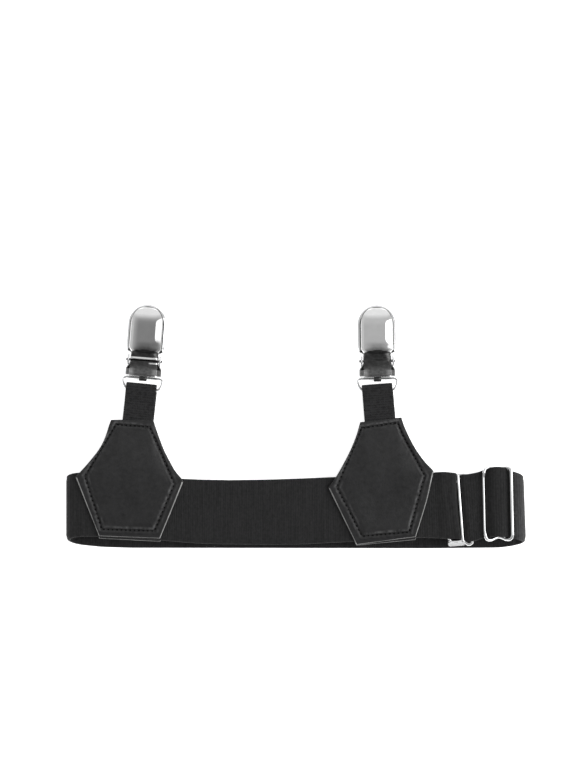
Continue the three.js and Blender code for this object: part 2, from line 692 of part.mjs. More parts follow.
// The origin is at the bottom centre of the whole object's box.
sockSuspender.updateMatrixWorld(true);
const extent = new THREE.Box3().setFromObject(placed, true);
const middle = extent.getCenter(new THREE.Vector3());
placed.position.set(-middle.x, -middle.y, -extent.min.z);
sockSuspender.updateMatrixWorld(true);

export default sockSuspender;
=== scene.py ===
import math

import bmesh
import bpy
import numpy as np
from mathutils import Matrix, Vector


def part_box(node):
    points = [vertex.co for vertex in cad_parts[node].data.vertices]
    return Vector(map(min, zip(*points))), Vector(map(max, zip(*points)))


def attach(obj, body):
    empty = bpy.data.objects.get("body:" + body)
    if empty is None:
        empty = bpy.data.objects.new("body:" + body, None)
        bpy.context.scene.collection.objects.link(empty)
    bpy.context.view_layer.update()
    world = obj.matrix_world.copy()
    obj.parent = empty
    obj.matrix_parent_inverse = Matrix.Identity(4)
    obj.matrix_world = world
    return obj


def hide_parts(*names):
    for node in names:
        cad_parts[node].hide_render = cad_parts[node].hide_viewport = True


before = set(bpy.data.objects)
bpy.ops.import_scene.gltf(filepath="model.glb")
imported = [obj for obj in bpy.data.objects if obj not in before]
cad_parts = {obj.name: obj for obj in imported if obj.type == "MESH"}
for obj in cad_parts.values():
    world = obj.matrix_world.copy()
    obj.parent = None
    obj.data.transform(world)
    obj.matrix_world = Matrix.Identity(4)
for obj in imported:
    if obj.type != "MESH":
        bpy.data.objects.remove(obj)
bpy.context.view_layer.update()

# Sizes, in millimetres, as in the part's own model

ELASTIC = 1.2
GAP = 0.3
WIRE = 0.75
LOOP_LEFT, LOOP_RIGHT = -103.2, 103.3
FLOOR_Z = ELASTIC / 2
FRONT_Z = 8.0
HARDWARE_Z = 9.0
SLIDER_Z = 8.7
BUMP_Z = 10.7
WRAP = WIRE + GAP + ELASTIC / 2
BAR_Z = HARDWARE_Z - WRAP
RETURN_Z = BAR_Z - WRAP
SEWN_Z = RETURN_Z + ELASTIC + GAP
LEATHER = 1.0

CONNECTOR = dict(x=74.3, y=-37.45, lean=4.3, left=-6.1, right=4.0, top=15.3,
                 strip_top=-12.8, strip_bottom=-16.4, strip_thick=1.1)
SLIDER = dict(x=90.9, y=-35.35, lean=1.3, half_pitch=6.05, half_height=16.15,
              cup=3.06, peak=1.1, z=SLIDER_Z + ELASTIC / 2 + GAP + WIRE)
STRAP = dict(half_width=6.9, half_thick=0.9, nose=1.7, nose_at=1.3, length=35.2, neck=4.5)
RING = dict(wire=0.5, height=5.4, top=7.9, bulge=8.8, lower=6.6, top_z=1.4, lower_z=2.2)
CLIP = dict(sheet=0.6, pin_z=2.2, pin=0.6, pin_half=8.2, hinge_y=-7.9, tail_y=-7.0,
            ear=6.9, ear_half=2.4, ear_top=3.7, tongue=1.7, curl=1.4,
            coil=0.94, coil_wire=0.2, coil_half=4.6, coil_turns=7,
            jaw_ear=5.45, jaw_ear_half=1.4, jaw_ear_bottom=0.95, jaw_ear_top=3.9)

SIDES = {
    "left": dict(x=-68.8, y=21.4, clip_turn=-4.5, strap_turn=-5.7, strap_x=-69.6, strap_y=16.0),
    "right": dict(x=37.1, y=21.1, clip_turn=0.8, strap_turn=4.5, strap_x=37.0, strap_y=15.7),
}

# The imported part's shift from the model's own axes, taken from the slider,
# which is symmetric about its own centre
low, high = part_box("slider")
SHIFT = np.array([
    (low[0] + high[0]) * 500 - SLIDER["x"],
    (low[1] + high[1]) * 500 - SLIDER["y"],
    0.0,
])


# Small numeric helpers

def mix(a, b, t):
    return a + (b - a) * t


def smoothstep(t):
    t = np.clip(t, 0.0, 1.0)
    return t * t * (3 - 2 * t)


def turned(points, degrees, x=0.0, y=0.0):
    """Points turned about Z and then moved in XY."""
    a = math.radians(degrees)
    p = np.array(points, float)
    out = p.copy()
    out[..., 0] = p[..., 0] * math.cos(a) - p[..., 1] * math.sin(a) + x
    out[..., 1] = p[..., 0] * math.sin(a) + p[..., 1] * math.cos(a) + y
    return out


def circle(sides):
    """Even angles all the way round."""
    return np.arange(sides) / sides * 2 * math.pi


def unit(vectors):
    """Each row at a length of 1."""
    return vectors / np.linalg.norm(vectors, axis=1)[:, None]


def arc_lengths(points):
    """Length along a path up to each of its points."""
    return np.concatenate([[0], np.cumsum(np.linalg.norm(np.diff(points, axis=0), axis=1))])


def resampled(loop, count):
    """Evenly spaced points round a closed loop."""
    closed = np.vstack([loop, loop[:1]])
    length = arc_lengths(closed)
    wanted = np.linspace(0, length[-1], count, endpoint=False)
    return np.stack([np.interp(wanted, length, column) for column in closed.T], axis=1)


def closed_spline(points, count):
    """A centripetal Catmull-Rom curve through points and back, at even steps."""
    p = np.array(points, float)
    n = len(p)
    dense = []
    for i in range(n):
        p0, p1, p2, p3 = (p[(i + k) % n] for k in (-1, 0, 1, 2))
        t1 = max(np.linalg.norm(p1 - p0), 1e-6) ** 0.5
        t2 = t1 + max(np.linalg.norm(p2 - p1), 1e-6) ** 0.5
        t3 = t2 + max(np.linalg.norm(p3 - p2), 1e-6) ** 0.5
        for t in np.linspace(t1, t2, 24, endpoint=False):
            a1 = mix(p0, p1, t / t1)
            a2 = mix(p1, p2, (t - t1) / (t2 - t1))
            a3 = mix(p2, p3, (t - t2) / (t3 - t2))
            b1 = mix(a1, a2, t / t2)
            b2 = mix(a2, a3, (t - t1) / (t3 - t1))
            dense.append(mix(b1, b2, (t - t1) / (t2 - t1)))
    return resampled(dense, count)


# Mesh helpers: each returns (points, faces), and piece() makes the object

def loft(rings, looped=False):
    """Quads between rings of points, with end caps unless the rings close on themselves."""
    rings = np.array(rings, float)
    rows, count = rings.shape[:2]
    faces = []
    for s in range(rows if looped else rows - 1):
        here, there = s * count, ((s + 1) % rows) * count
        for i in range(count):
            j = (i + 1) % count
            faces.append((here + i, here + j, there + j, there + i))
    if not looped:
        faces.append(tuple(reversed(range(count))))
        faces.append(tuple((rows - 1) * count + i for i in range(count)))
    return rings.reshape(-1, 3), faces


def tube(path, radius, sides=14):
    """A round wire along a closed path that stays near the XY plane."""
    along = unit(np.roll(path, -1, 0) - np.roll(path, 1, 0))
    side = unit(np.stack([along[:, 1], -along[:, 0], np.zeros(len(path))], axis=1))
    up = np.cross(side, along)
    cos, sin = np.cos(circle(sides))[:, None], np.sin(circle(sides))[:, None]
    radius = np.broadcast_to(radius, (len(path),))
    return loft([p + r * (cos * s + sin * u) for p, r, s, u in zip(path, radius, side, up)], True)


def straight_bar(radius, start, end, axis, sides=16):
    """A round bar along X or Y with softly domed ends."""
    start, end = np.array(start, float), np.array(end, float)
    steps = [(0.0, 0.35), (0.08, 0.7), (0.25, 0.93), (0.5, 1.0)]
    length = np.linalg.norm(end - start)
    rows = [(d * radius, r) for d, r in steps] + [(length - d * radius, r) for d, r in reversed(steps)]
    u, v = np.array({"x": ((0, 1, 0), (0, 0, 1)), "y": ((0, 0, 1), (1, 0, 0))}[axis], float)
    round_section = np.cos(circle(sides))[:, None] * u + np.sin(circle(sides))[:, None] * v
    return loft([start + (end - start) * d / length + radius * r * round_section for d, r in rows])


def merged(*parts):
    """Several (points, faces) as one."""
    points, faces, offset = [], [], 0
    for p, f in parts:
        points.append(p)
        faces.extend(tuple(i + offset for i in face) for face in f)
        offset += len(p)
    return np.vstack(points), faces


def piece(name, shape, material, body="root", stands_for=(), uv=None, more=(), picks=None):
    """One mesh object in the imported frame, from points in model millimetres."""
    points, faces = shape
    mesh = bpy.data.meshes.new(name)
    mesh.from_pydata((np.asarray(points) + SHIFT) * 0.001, [], faces)
    mesh.validate()
    mesh.polygons.foreach_set("use_smooth", [True] * len(mesh.polygons))
    for m in (material, *more):
        mesh.materials.append(m)
    if picks is not None:
        mesh.polygons.foreach_set("material_index", picks)
    if uv is not None:
        layer = mesh.uv_layers.new(name="weave")
        index = np.zeros(len(mesh.loops), int)
        mesh.loops.foreach_get("vertex_index", index)
        layer.data.foreach_set("uv", np.asarray(uv)[index].ravel())
    mesh.update()
    # each closed shell's faces are turned outwards
    work = bmesh.new()
    work.from_mesh(mesh)
    bmesh.ops.recalc_face_normals(work, faces=work.faces)
    work.to_mesh(mesh)
    work.free()
    obj = bpy.data.objects.new(name, mesh)
    bpy.context.scene.collection.objects.link(obj)
    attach(obj, body)
    if stands_for:
        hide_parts(*stands_for)
    return obj


def sharpen(obj, degrees=40):
    """Shades faces that meet at more than this angle as a crisp edge."""
    obj.data.set_sharp_from_angle(angle=math.radians(degrees))


# Materials

class Nodes:
    """A material's or the world's node tree, with short calls for the nodes used here."""

    def __init__(self, owner):
        self.owner = owner
        owner.use_nodes = True
        self.tree = owner.node_tree

    def add(self, kind, **values):
        node = self.tree.nodes.new(kind)
        for key, value in values.items():
            setattr(node, key, value)
        return node

    def value(self, socket, source):
        if hasattr(source, "links"):
            self.tree.links.new(source, socket)
        else:
            socket.default_value = source

    def fill(self, node, **sources):
        """Sets a node's inputs by name, each from a socket or to a value."""
        for key, source in sources.items():
            self.value(node.inputs[key.replace("_", " ")], source)
        return node

    def math(self, operation, *sources):
        node = self.add("ShaderNodeMath", operation=operation)
        for socket, source in zip(node.inputs, sources):
            self.value(socket, source)
        return node.outputs[0]

    def times(self, a, b):
        return self.math("MULTIPLY", a, b)

    def plus(self, a, b):
        return self.math("ADD", a, b)

    def linear(self, source, factor, offset):
        return self.math("MULTIPLY_ADD", source, factor, offset)

    def coordinates(self, kind="Object"):
        return self.add("ShaderNodeTexCoord").outputs[kind]

    def weave(self):
        """The piece's own flat map, as a vector."""
        return self.add("ShaderNodeUVMap", uv_map="weave").outputs["UV"]

    def split(self, vector):
        return self.fill(self.add("ShaderNodeSeparateXYZ"), Vector=vector).outputs

    def stretched(self, vector, *scale):
        return self.fill(self.add("ShaderNodeMapping"), Scale=scale, Vector=vector).outputs["Vector"]

    def noise(self, scale, detail=4.0, roughness=0.5, vector=None):
        node = self.fill(self.add("ShaderNodeTexNoise"), Vector=vector or self.coordinates(),
                         Scale=scale, Detail=detail, Roughness=roughness)
        return node.outputs["Fac"]

    def ramp(self, source, *stops):
        node = self.fill(self.add("ShaderNodeValToRGB"), Fac=source)
        ramp = node.color_ramp
        while len(ramp.elements) < len(stops):
            ramp.elements.new(0.5)
        for element, (place, color) in zip(ramp.elements, stops):
            element.position = place
            element.color = (*color, 1) if hasattr(color, "__len__") else (color, color, color, 1)
        return node.outputs["Color"]

    def zone(self, source, start, end, low=0.0, high=1.0):
        """A soft step from low to high, as the source goes from start to end."""
        node = self.add("ShaderNodeMapRange", interpolation_type="SMOOTHSTEP")
        self.fill(node, Value=source, From_Min=start, From_Max=end, To_Min=low, To_Max=high)
        return node.outputs["Result"]

    def blend(self, factor, a, b):
        node = self.add("ShaderNodeMix", data_type="RGBA")
        return self.fill(node, Factor=factor, A=a, B=b).outputs["Result"]

    def bump(self, height, distance, strength=1.0, after=None):
        node = self.fill(self.add("ShaderNodeBump"), Strength=strength, Distance=distance, Height=height)
        if after is not None:
            self.fill(node, Normal=after)
        return node.outputs["Normal"]

    def ripple(self):
        """The faint waviness of plated metal."""
        return self.bump(self.noise(150, 2, 0.4), 0.0002, 0.12)

    def set(self, **values):
        self.fill(self.tree.nodes["Principled BSDF"], **values)


def new_material(name):
    return Nodes(bpy.data.materials.new(name))


def elastic_material(name, rib, warp, dark, light, relief, mottle, lit_fold_span=None):
    """Woven elastic: cross ribs and finer lengthwise threads, by the weave map in mm."""
    n = new_material(name)
    uv = n.weave()
    along, across, _ = n.split(uv)
    shifted = n.plus(along, n.times(n.noise(260, 3), 0.5))
    ribs = n.math("SINE", n.times(shifted, 2 * math.pi / rib))
    threads = n.math("SINE", n.times(across, 2 * math.pi / warp))
    weave = n.times(ribs, threads)
    fuzz = n.noise(3800, 2, 0.7)
    height = n.plus(n.times(ribs, 0.35), n.times(weave, 0.3))
    height = n.plus(height, n.times(fuzz, 0.9))
    picks = n.noise(1.0, 3, 0.7, n.stretched(uv, 0.8, 0.045, 1.0))
    tone = n.linear(height, relief, n.linear(picks, 1.1, -0.37))
    tone = n.plus(tone, n.times(n.noise(90, 4), 0.35))
    tone = n.plus(tone, n.linear(n.noise(800, 2, 0.5), mottle, -0.5 * mottle))
    color = n.ramp(tone, (0.1, dark), (0.9, light))
    if lit_fold_span:
        # painted highlight: paler streaks on the right end fold, where the light from the right falls on it
        pale = n.ramp(tone, (0.1, 0.014), (0.9, (0.040, 0.040, 0.041)))
        color = n.blend(n.zone(n.split(n.coordinates())[0], *lit_fold_span), color, pale)
    n.set(Base_Color=color, Roughness=0.82, Normal=n.bump(height, 0.00013, 0.9))
    n.set(Specular_IOR_Level=0.3, Sheen_Weight=0.06, Sheen_Roughness=0.5)
    return n.owner


def leather_material():
    """Smooth finished leather, drawn in along the seam.

    The weave map holds the distance to the seam and how far its ridges face the light from the right and the
    front.
    """
    n = new_material("leather")
    depth, facing_light, _ = n.split(n.weave())
    off_seam = n.math("ABSOLUTE", depth)
    pulled = n.ramp(n.noise(330, 3, 0.6), (0.34, 0.0), (0.66, 1.0))
    ridge = n.times(n.zone(off_seam, 0.3, 0.85), n.zone(off_seam, 2.0, 0.95))
    ridge = n.times(ridge, pulled)
    # painted highlight on the ridges that face the light, plus a slight lightening of every ridge as rubbed
    # wear
    rub_and_highlight = n.times(ridge, n.linear(facing_light, 0.8, 0.12))
    drawn = n.linear(ridge, 0.34, n.times(n.zone(off_seam, 0.0, 0.5), 0.16))
    seam = n.bump(drawn, 0.001, 0.9)
    pores = n.fill(n.add("ShaderNodeTexVoronoi", feature="F1"), Scale=1500, Vector=n.coordinates())
    fine = n.noise(4200, 3, 0.65)
    creases = n.noise(480, 6, 0.66)
    clouds = n.noise(75, 5, 0.6)
    height = n.linear(pores.outputs["Distance"], 0.5, n.times(fine, 0.5))
    height = n.linear(creases, 1.5, height)
    tone = n.linear(creases, 0.45, n.times(clouds, 0.3))
    tone = n.linear(fine, 0.25, tone)
    color = n.ramp(tone, (0.36, (0.0076, 0.0076, 0.0078)), (0.66, (0.0212, 0.0212, 0.0217)))
    rubbed_and_lit = n.ramp(tone, (0.36, (0.042, 0.042, 0.043)), (0.66, (0.12, 0.12, 0.121)))
    color = n.blend(rub_and_highlight, color, rubbed_and_lit)
    gloss = n.linear(clouds, 0.22, n.linear(creases, 0.14, 0.22))
    n.set(Base_Color=color, Roughness=gloss, Normal=n.bump(height, 0.00009, 0.8, seam))
    n.set(Specular_IOR_Level=0.30)
    return n.owner


def raw_edge_material():
    """Cut leather edge: paler and rougher than its face."""
    n = new_material("leather_edge")
    grain = n.noise(1600, 5, 0.7)
    patchy = n.noise(120, 3, 0.6)
    color = n.ramp(n.linear(patchy, 0.7, n.times(grain, 0.4)),
                   (0.35, 0.07), (0.7, (0.30, 0.30, 0.295)))
    n.set(Base_Color=color, Roughness=0.6, Normal=n.bump(grain, 0.00012, 0.6))
    return n.owner


def thread_material():
    """Waxed black sewing thread with a fine twist."""
    n = new_material("thread")
    twist = n.noise(4200, 2, 0.5)
    color = n.ramp(twist, (0.3, 0.002), (0.8, 0.007))
    n.set(Base_Color=color, Roughness=0.75, Specular_IOR_Level=0.08, Normal=n.bump(twist, 0.00008, 0.7))
    return n.owner


def chrome_material(name, tint, smudge):
    """Bright nickel plate, with faint waviness, smudges and hairlines."""
    n = new_material(name)
    hairlines = n.noise(5200, 2, 0.6, n.stretched(n.coordinates(), 1.0, 0.08, 1.0))
    smudges = n.noise(240, 5, 0.6)
    rough = n.linear(smudges, smudge, 0.045)
    rough = n.linear(hairlines, 0.05, rough)
    color = n.ramp(smudges, (0.3, tuple(c * 0.93 for c in tint)), (0.75, tint))
    n.set(Base_Color=color, Metallic=1.0, Roughness=rough, Normal=n.bump(hairlines, 0.00001, 0.1, n.ripple()))
    return n.owner


def clip_material(name, tint, mouth, painted_ridge_light=False, floor=False):
    """Nickel plate, darker, mottled and rougher at the hinge, with painted shade and painted highlights, by
    the clip's own x and y.
    """
    n = new_material(name)
    uv = n.weave()
    x, along, _ = n.split(uv)
    across = n.math("ABSOLUTE", x)
    streaks = n.noise(1.2, 4, 0.6, n.stretched(uv, 0.3, 1.0, 1.0))
    blotches = n.noise(0.5, 5, 0.65, uv)
    mottled = n.linear(streaks, 0.5, n.times(blotches, 0.5))

    def greys(dark, middle, light):
        return n.ramp(mottled, (0.34, dark), (0.6, middle), (0.8, light))

    def line(centre, half):
        """1 within a thin line across the clip, 0 beside it."""
        return n.zone(n.math("ABSOLUTE", n.math("SUBTRACT", along, centre)), half, half * 0.55)

    # the hinge's greys: darker and mottled, near black at the neck
    neck = greys(0.03, 0.085, 0.24)
    lever = greys(0.06, 0.16, 0.4)
    # painted highlight: paler glints at both sides of the lever's lower end
    glint_grey = greys(0.16, 0.36, 0.7)
    hinge = n.blend(n.zone(along, -4.6, -1.6), lever, neck)
    glint_mask = n.times(n.zone(across, 3.2, 5.4), n.zone(along, -3.4, -4.4))
    hinge = n.blend(glint_mask, hinge, glint_grey)
    # painted shade: near black beside the neck, where the sides fall into shadow
    painted_shade_flank = n.times(n.zone(across, 5.75, 6.15), n.zone(along, -4.3, -3.8))
    hinge = n.blend(painted_shade_flank, hinge, greys(0.018, 0.025, 0.03))
    ripple = n.ripple()
    if floor:
        n.set(Base_Color=hinge, Metallic=1.0, Roughness=0.35, Normal=ripple)
        return n.owner
    # painted highlight: a bright line across the lever's end
    painted_glint = greys(0.7, 0.8, 0.85)
    hinge = n.blend(line(-7.0, 0.3), hinge, painted_glint)
    if painted_ridge_light:
        # painted shade and painted highlight along the jaw's ridge, and a short painted glint beside the
        # lever
        hinge = n.blend(line(0.05, 0.5), hinge, greys(0.004, 0.006, 0.01))
        hinge = n.blend(line(0.95, 0.62), hinge, painted_glint)
        glint_dash = n.times(line(-1.2, 0.4), n.zone(x, 1.8, 3.0))
        hinge = n.blend(glint_dash, hinge, painted_glint)
    arch = n.times(n.times(across, across), 0.034)
    height = n.plus(n.plus(along, arch), n.linear(blotches, 1.2, -0.6))
    # below the hinge's arch the plate takes the hinge's greys and is rougher and dented
    marked_zone = n.math("SUBTRACT", 1.0, n.zone(height, 4.75, 5.3))
    smudges = n.noise(300, 4, 0.6)
    dome_tone = n.ramp(smudges, (0.3, tint * 0.94), (0.75, tint))
    # painted reflection: the mouth and the left flank take the paler tint, which differs only on the left
    # clip
    pale = n.ramp(smudges, (0.3, mouth * 0.94), (0.75, mouth))
    dome_tone = n.blend(n.zone(along, 17.2, 20.4), dome_tone, pale)
    dome_tone = n.blend(n.zone(n.times(x, -1.0), 3.2, 6.9), dome_tone, pale)
    # painted shade where the dome's tip meets the rim
    dome_tone = n.blend(n.zone(along, 23.5, 23.9), dome_tone, greys(0.36, 0.36, 0.36))
    # a shade above the hinge's arch, strongest in the middle
    shade = n.times(n.zone(height, 8.4, 4.8), n.zone(across, 6.4, 1.6))
    dim = n.ramp(smudges, (0.3, tint * 0.30), (0.75, tint * 0.36))
    dome_tone = n.blend(shade, dome_tone, dim)
    # painted shadow at the dome's foot, a thin dark line: 1 at the outline, less inside it
    side = n.math("POWER", n.math("DIVIDE", across, 7.45), 2.5)
    ahead = n.math("DIVIDE", n.math("SUBTRACT", along, 15.0), 9.45)
    front = n.math("POWER", n.math("MAXIMUM", ahead, 0.0), 2.5)
    rim = n.math("POWER", n.plus(side, front), 0.4)
    dome_tone = n.blend(n.zone(rim, 0.950, 0.970), dome_tone, greys(0.09, 0.12, 0.16))
    rough = n.linear(marked_zone, 0.14, n.linear(smudges, 0.06, 0.05))
    dents = n.bump(n.times(mottled, marked_zone), 0.0003, 0.15, ripple)
    n.set(Base_Color=n.blend(marked_zone, dome_tone, hinge), Metallic=1.0, Roughness=rough, Normal=dents)
    return n.owner


# the band's last argument marks the right end fold, which gets a painted highlight
band_cloth = elastic_material("band_elastic", 1.05, 0.7, (0.0055, 0.0055, 0.0057),
                              (0.0160, 0.0160, 0.0164), 0.36, 1.3, (0.0962, 0.0985))
strap_cloth = elastic_material("strap_elastic", 1.1, 1.05, (0.004, 0.004, 0.0042),
                               (0.0165, 0.0165, 0.017), 0.75, 2.4)
leather = leather_material()
raw_edge = raw_edge_material()
thread = thread_material()
bright = chrome_material("chrome_bright", (0.86, 0.865, 0.87), 0.07)
# the ring: a darker copy of the plate's chrome, painted shade on its thin wire
shaded_ring_metal = chrome_material("chrome_ring", (0.72, 0.725, 0.73), 0.1)
plate_metal = chrome_material("chrome_plate", (0.84, 0.845, 0.85), 0.1)
pin_metal = chrome_material("chrome_pin", (0.2, 0.2, 0.205), 0.15)
# painted shade: the plate's inner floor under the dome and its tongue take the hinge's dark greys
painted_shade_metal = clip_material("chrome_crevice", 0.2, 0.2, floor=True)
clip_metal = {
    # the left clip is a darker copy of the same plate, painted shade, with painted reflections at its mouth
    # and left flank and painted lines along its ridge
    "left": clip_material("chrome_clip_left", 0.42, 0.84, painted_ridge_light=True),
    "right": clip_material("chrome_clip_right", 0.86, 0.86),
}


# Ribbons: a woven strip along stations, with thinner woven edges

def ribbon(stations, normals, thickness, columns=26, groove=0.1, groove_at=1.5):
    """Rings of a strip. A station is (lower end, upper end) of its middle line."""
    rings, marks = [], []
    half = thickness / 2
    spread = np.concatenate([
        -1 + 0.03 * np.array([0.0, 0.25, 0.6, 1.0, 1.7]),
        np.linspace(-0.9, 0.9, columns),
        1 - 0.03 * np.array([1.7, 1.0, 0.6, 0.25, 0.0]),
    ])
    lengths = arc_lengths(stations.mean(axis=1))
    for (a, b), normal, length in zip(stations, normals, lengths):
        width = np.linalg.norm(b - a)
        edge = (1 - np.abs(spread)) * width / 2
        thick = half * np.sqrt(np.clip(1 - (1 - np.clip(edge / 0.55, 0, 1)) ** 2, 0.04, 1))
        thick = thick - groove * np.exp(-((edge - groove_at) / 0.22) ** 2)
        middle = (a + b) / 2 + np.outer(spread, (b - a) / 2)
        top = middle + thick[:, None] * normal
        under = middle - thick[:, None] * normal
        rings.append(np.vstack([top, under[::-1]]))
        across = spread * width / 2
        marks.append(np.stack([np.full(2 * len(spread), length), np.concatenate([across, across[::-1]])], 1))
    return rings, np.vstack(marks)


# Elastic band: rows of (x, z, lean, lower, upper), and how the band gets there
# where that isn't straight: "smooth", or an arc as (centre's z, radius)

LEFT_R = (FRONT_Z - FLOOR_Z) / 2
RIGHT_R = (SLIDER_Z - FLOOR_Z) / 2
LEFT_X = LOOP_LEFT + ELASTIC / 2 + LEFT_R
RIGHT_X = LOOP_RIGHT - ELASTIC / 2 - RIGHT_R
SEWN_X = CONNECTOR["x"] + CONNECTOR["left"] + 2.6
TURN_X = CONNECTOR["x"] + CONNECTOR["right"] - 1.1
CENTRE_X = SLIDER["x"] + 0.6
LEAN_PIVOT_Y = -36.6

BAND_ROWS = [
    (64.4, RETURN_Z, 3.4, -50.0, -23.0),
    (SEWN_X, RETURN_Z, 4.3, -50.7, -22.3),
    (SEWN_X, HARDWARE_Z, 4.3, -50.9, -20.8, (BAR_Z, WRAP)),
    (67.4, HARDWARE_Z, 4.0, -50.9, -20.7),
    (63.0, FRONT_Z, 2.4, -50.6, -21.0, "smooth"),
    (55.0, FRONT_Z, 0.5, -50.4, -21.8),
    (36.0, FRONT_Z, 0, -51.6, -22.5),
    (20.0, FRONT_Z, 0, -52.5, -23.0),
    (2.0, FRONT_Z, 0, -53.4, -23.8),
    (-14.0, FRONT_Z, 0, -53.5, -24.3),
    (-29.0, FRONT_Z, 0, -53.4, -24.5),
    (-42.0, FRONT_Z, 0, -53.1, -24.3),
    (-51.5, FRONT_Z, 0, -52.4, -23.9),
    (-74.0, FRONT_Z, 0, -50.4, -22.2),
    (-90.0, FRONT_Z, 0, -49.9, -21.2),
    (LEFT_X, FRONT_Z, 0, -50.0, -21.1),
    (LEFT_X, FLOOR_Z, 0, -53.8, -24.3, (FLOOR_Z + LEFT_R, -LEFT_R)),
    (-87.5, FLOOR_Z, 0, -55.0, -25.4),
    (-74.0, FLOOR_Z, 0, -55.4, -26.0),
    (60.0, FLOOR_Z, 0, -55.6, -26.0),
    (92.0, FLOOR_Z, 1.2, -55.3, -25.6),
    (RIGHT_X, FLOOR_Z, 2.0, -54.4, -24.8),
    (RIGHT_X, SLIDER_Z, 2.0, -50.9, -20.5, (FLOOR_Z + RIGHT_R, RIGHT_R)),
    (95.6, SLIDER_Z, 1.3, -50.3, -19.7),
    (92.6, BUMP_Z, 1.3, -49.8, -18.2, "smooth"),
    (89.3, BUMP_Z, 1.3, -49.8, -18.5),
    (86.0, SLIDER_Z, 1.3, -50.3, -18.9, "smooth"),
    (83.4, SLIDER_Z, 1.9, -50.5, -21.0),
    (79.6, HARDWARE_Z, 3.8, -52.0, -21.5, "smooth"),
    (TURN_X, HARDWARE_Z, 4.3, -52.4, -21.8),
    (TURN_X, RETURN_Z, 4.3, -50.6, -22.7, (BAR_Z, -WRAP)),
    (83.0, RETURN_Z, 2.2, -49.6, -22.5),
    (CENTRE_X, RETURN_Z, 1.3, -48.5, -22.2),
    (CENTRE_X, HARDWARE_Z, 1.3, -48.5, -22.2, (BAR_Z, WRAP)),
    (89.9, HARDWARE_Z, 1.3, -48.5, -22.2),
    (86.5, SEWN_Z, 1.3, -48.5, -22.2, "smooth"),
    (83.4, SEWN_Z, 1.9, -48.7, -22.4),
]
# the front layer's upper edge: x and y of its rows
FRONT_EDGE = list(zip(*sorted((row[0], row[4]) for row in BAND_ROWS if row[1] == FRONT_Z)))
BAND_STEP = 0.8
ARC_STEPS = 24


def band_stations():
    rows = [BAND_ROWS[0][:5]]
    for before, after in zip(BAND_ROWS, BAND_ROWS[1:]):
        how = after[5] if len(after) > 5 else None
        a, b = np.array(before[:5]), np.array(after[:5])
        if isinstance(how, tuple):
            centre_z, radius = how
            for t in np.arange(1, ARC_STEPS + 1) / ARC_STEPS:
                turn = math.pi * (t - 0.5 if b[1] > a[1] else 0.5 - t)
                row = mix(a, b, t)
                row[0] = a[0] + radius * math.cos(turn)
                row[1] = centre_z + abs(radius) * math.sin(turn)
                rows.append(tuple(row))
            continue
        count = max(2, int(np.linalg.norm(b[:2] - a[:2]) / BAND_STEP))
        for t in np.arange(1, count + 1) / count:
            row = mix(a, b, t)
            if how == "smooth":
                row[1] = mix(a[1], b[1], smoothstep(t))
            rows.append(tuple(row))
    return np.array(rows)


def eased(values, lengths, reach):
    """A moving average over a length, so that straight table rows meet softly."""
    out = values.copy()
    for i, here in enumerate(lengths):
        weight = np.exp(-((lengths - here) / reach) ** 2)
        out[i] = (values * weight[:, None]).sum(axis=0) / weight.sum()
    return out


def settle(ring, x, z, _, lower, upper):
    """Draws the selvedges in at the end folds, and the sewn fold out to the connector's bar."""
    y = ring[:, 1]
    edge = np.clip(np.minimum(y - lower, upper - y), 0, None)
    corner = np.clip(1 - edge / 2.6, 0, 1) ** 2
    left = np.clip((LEFT_X - x) / LEFT_R, 0, 1)
    right = np.clip((x - RIGHT_X) / RIGHT_R, 0, 1)
    drawn = np.where(y < (lower + upper) / 2, 0.8, 0.4)
    ring[:, 0] += drawn * corner * (left - right)
    if z > RETURN_Z - 0.5 and x < CONNECTOR["x"]:
        bow = (2 * (y - (lower + upper) / 2) / (upper - lower)) ** 2
        ring[:, 0] += 0.75 * bow * smoothstep((x - SEWN_X + 2.0) / 3.0)


def make_band():
    rows = band_stations()
    lengths = arc_lengths(rows[:, :2])
    rows[:, 2:] = eased(rows[:, 2:], lengths, 2.2)
    along = unit(np.gradient(rows[:, :2], axis=0))
    normals = np.stack([-along[:, 1], np.zeros(len(rows)), along[:, 0]], axis=1)
    slope = np.tan(np.radians(rows[:, 2]))
    ends = [np.stack([rows[:, 0] - slope * (y - LEAN_PIVOT_Y), y, rows[:, 1]], axis=1) for y in rows.T[3:]]
    rings, uv = ribbon(np.stack(ends, axis=1), normals, ELASTIC)
    for ring, row in zip(rings, rows):
        settle(ring, *row)
    band = piece("band_cloth", loft(rings), band_cloth,
                 stands_for=["band", "band_adjuster"], uv=uv)


# Straps

def strap_height(distance):
    return mix(RING["lower_z"], FRONT_Z, smoothstep((distance - 1.0) / 38.5))


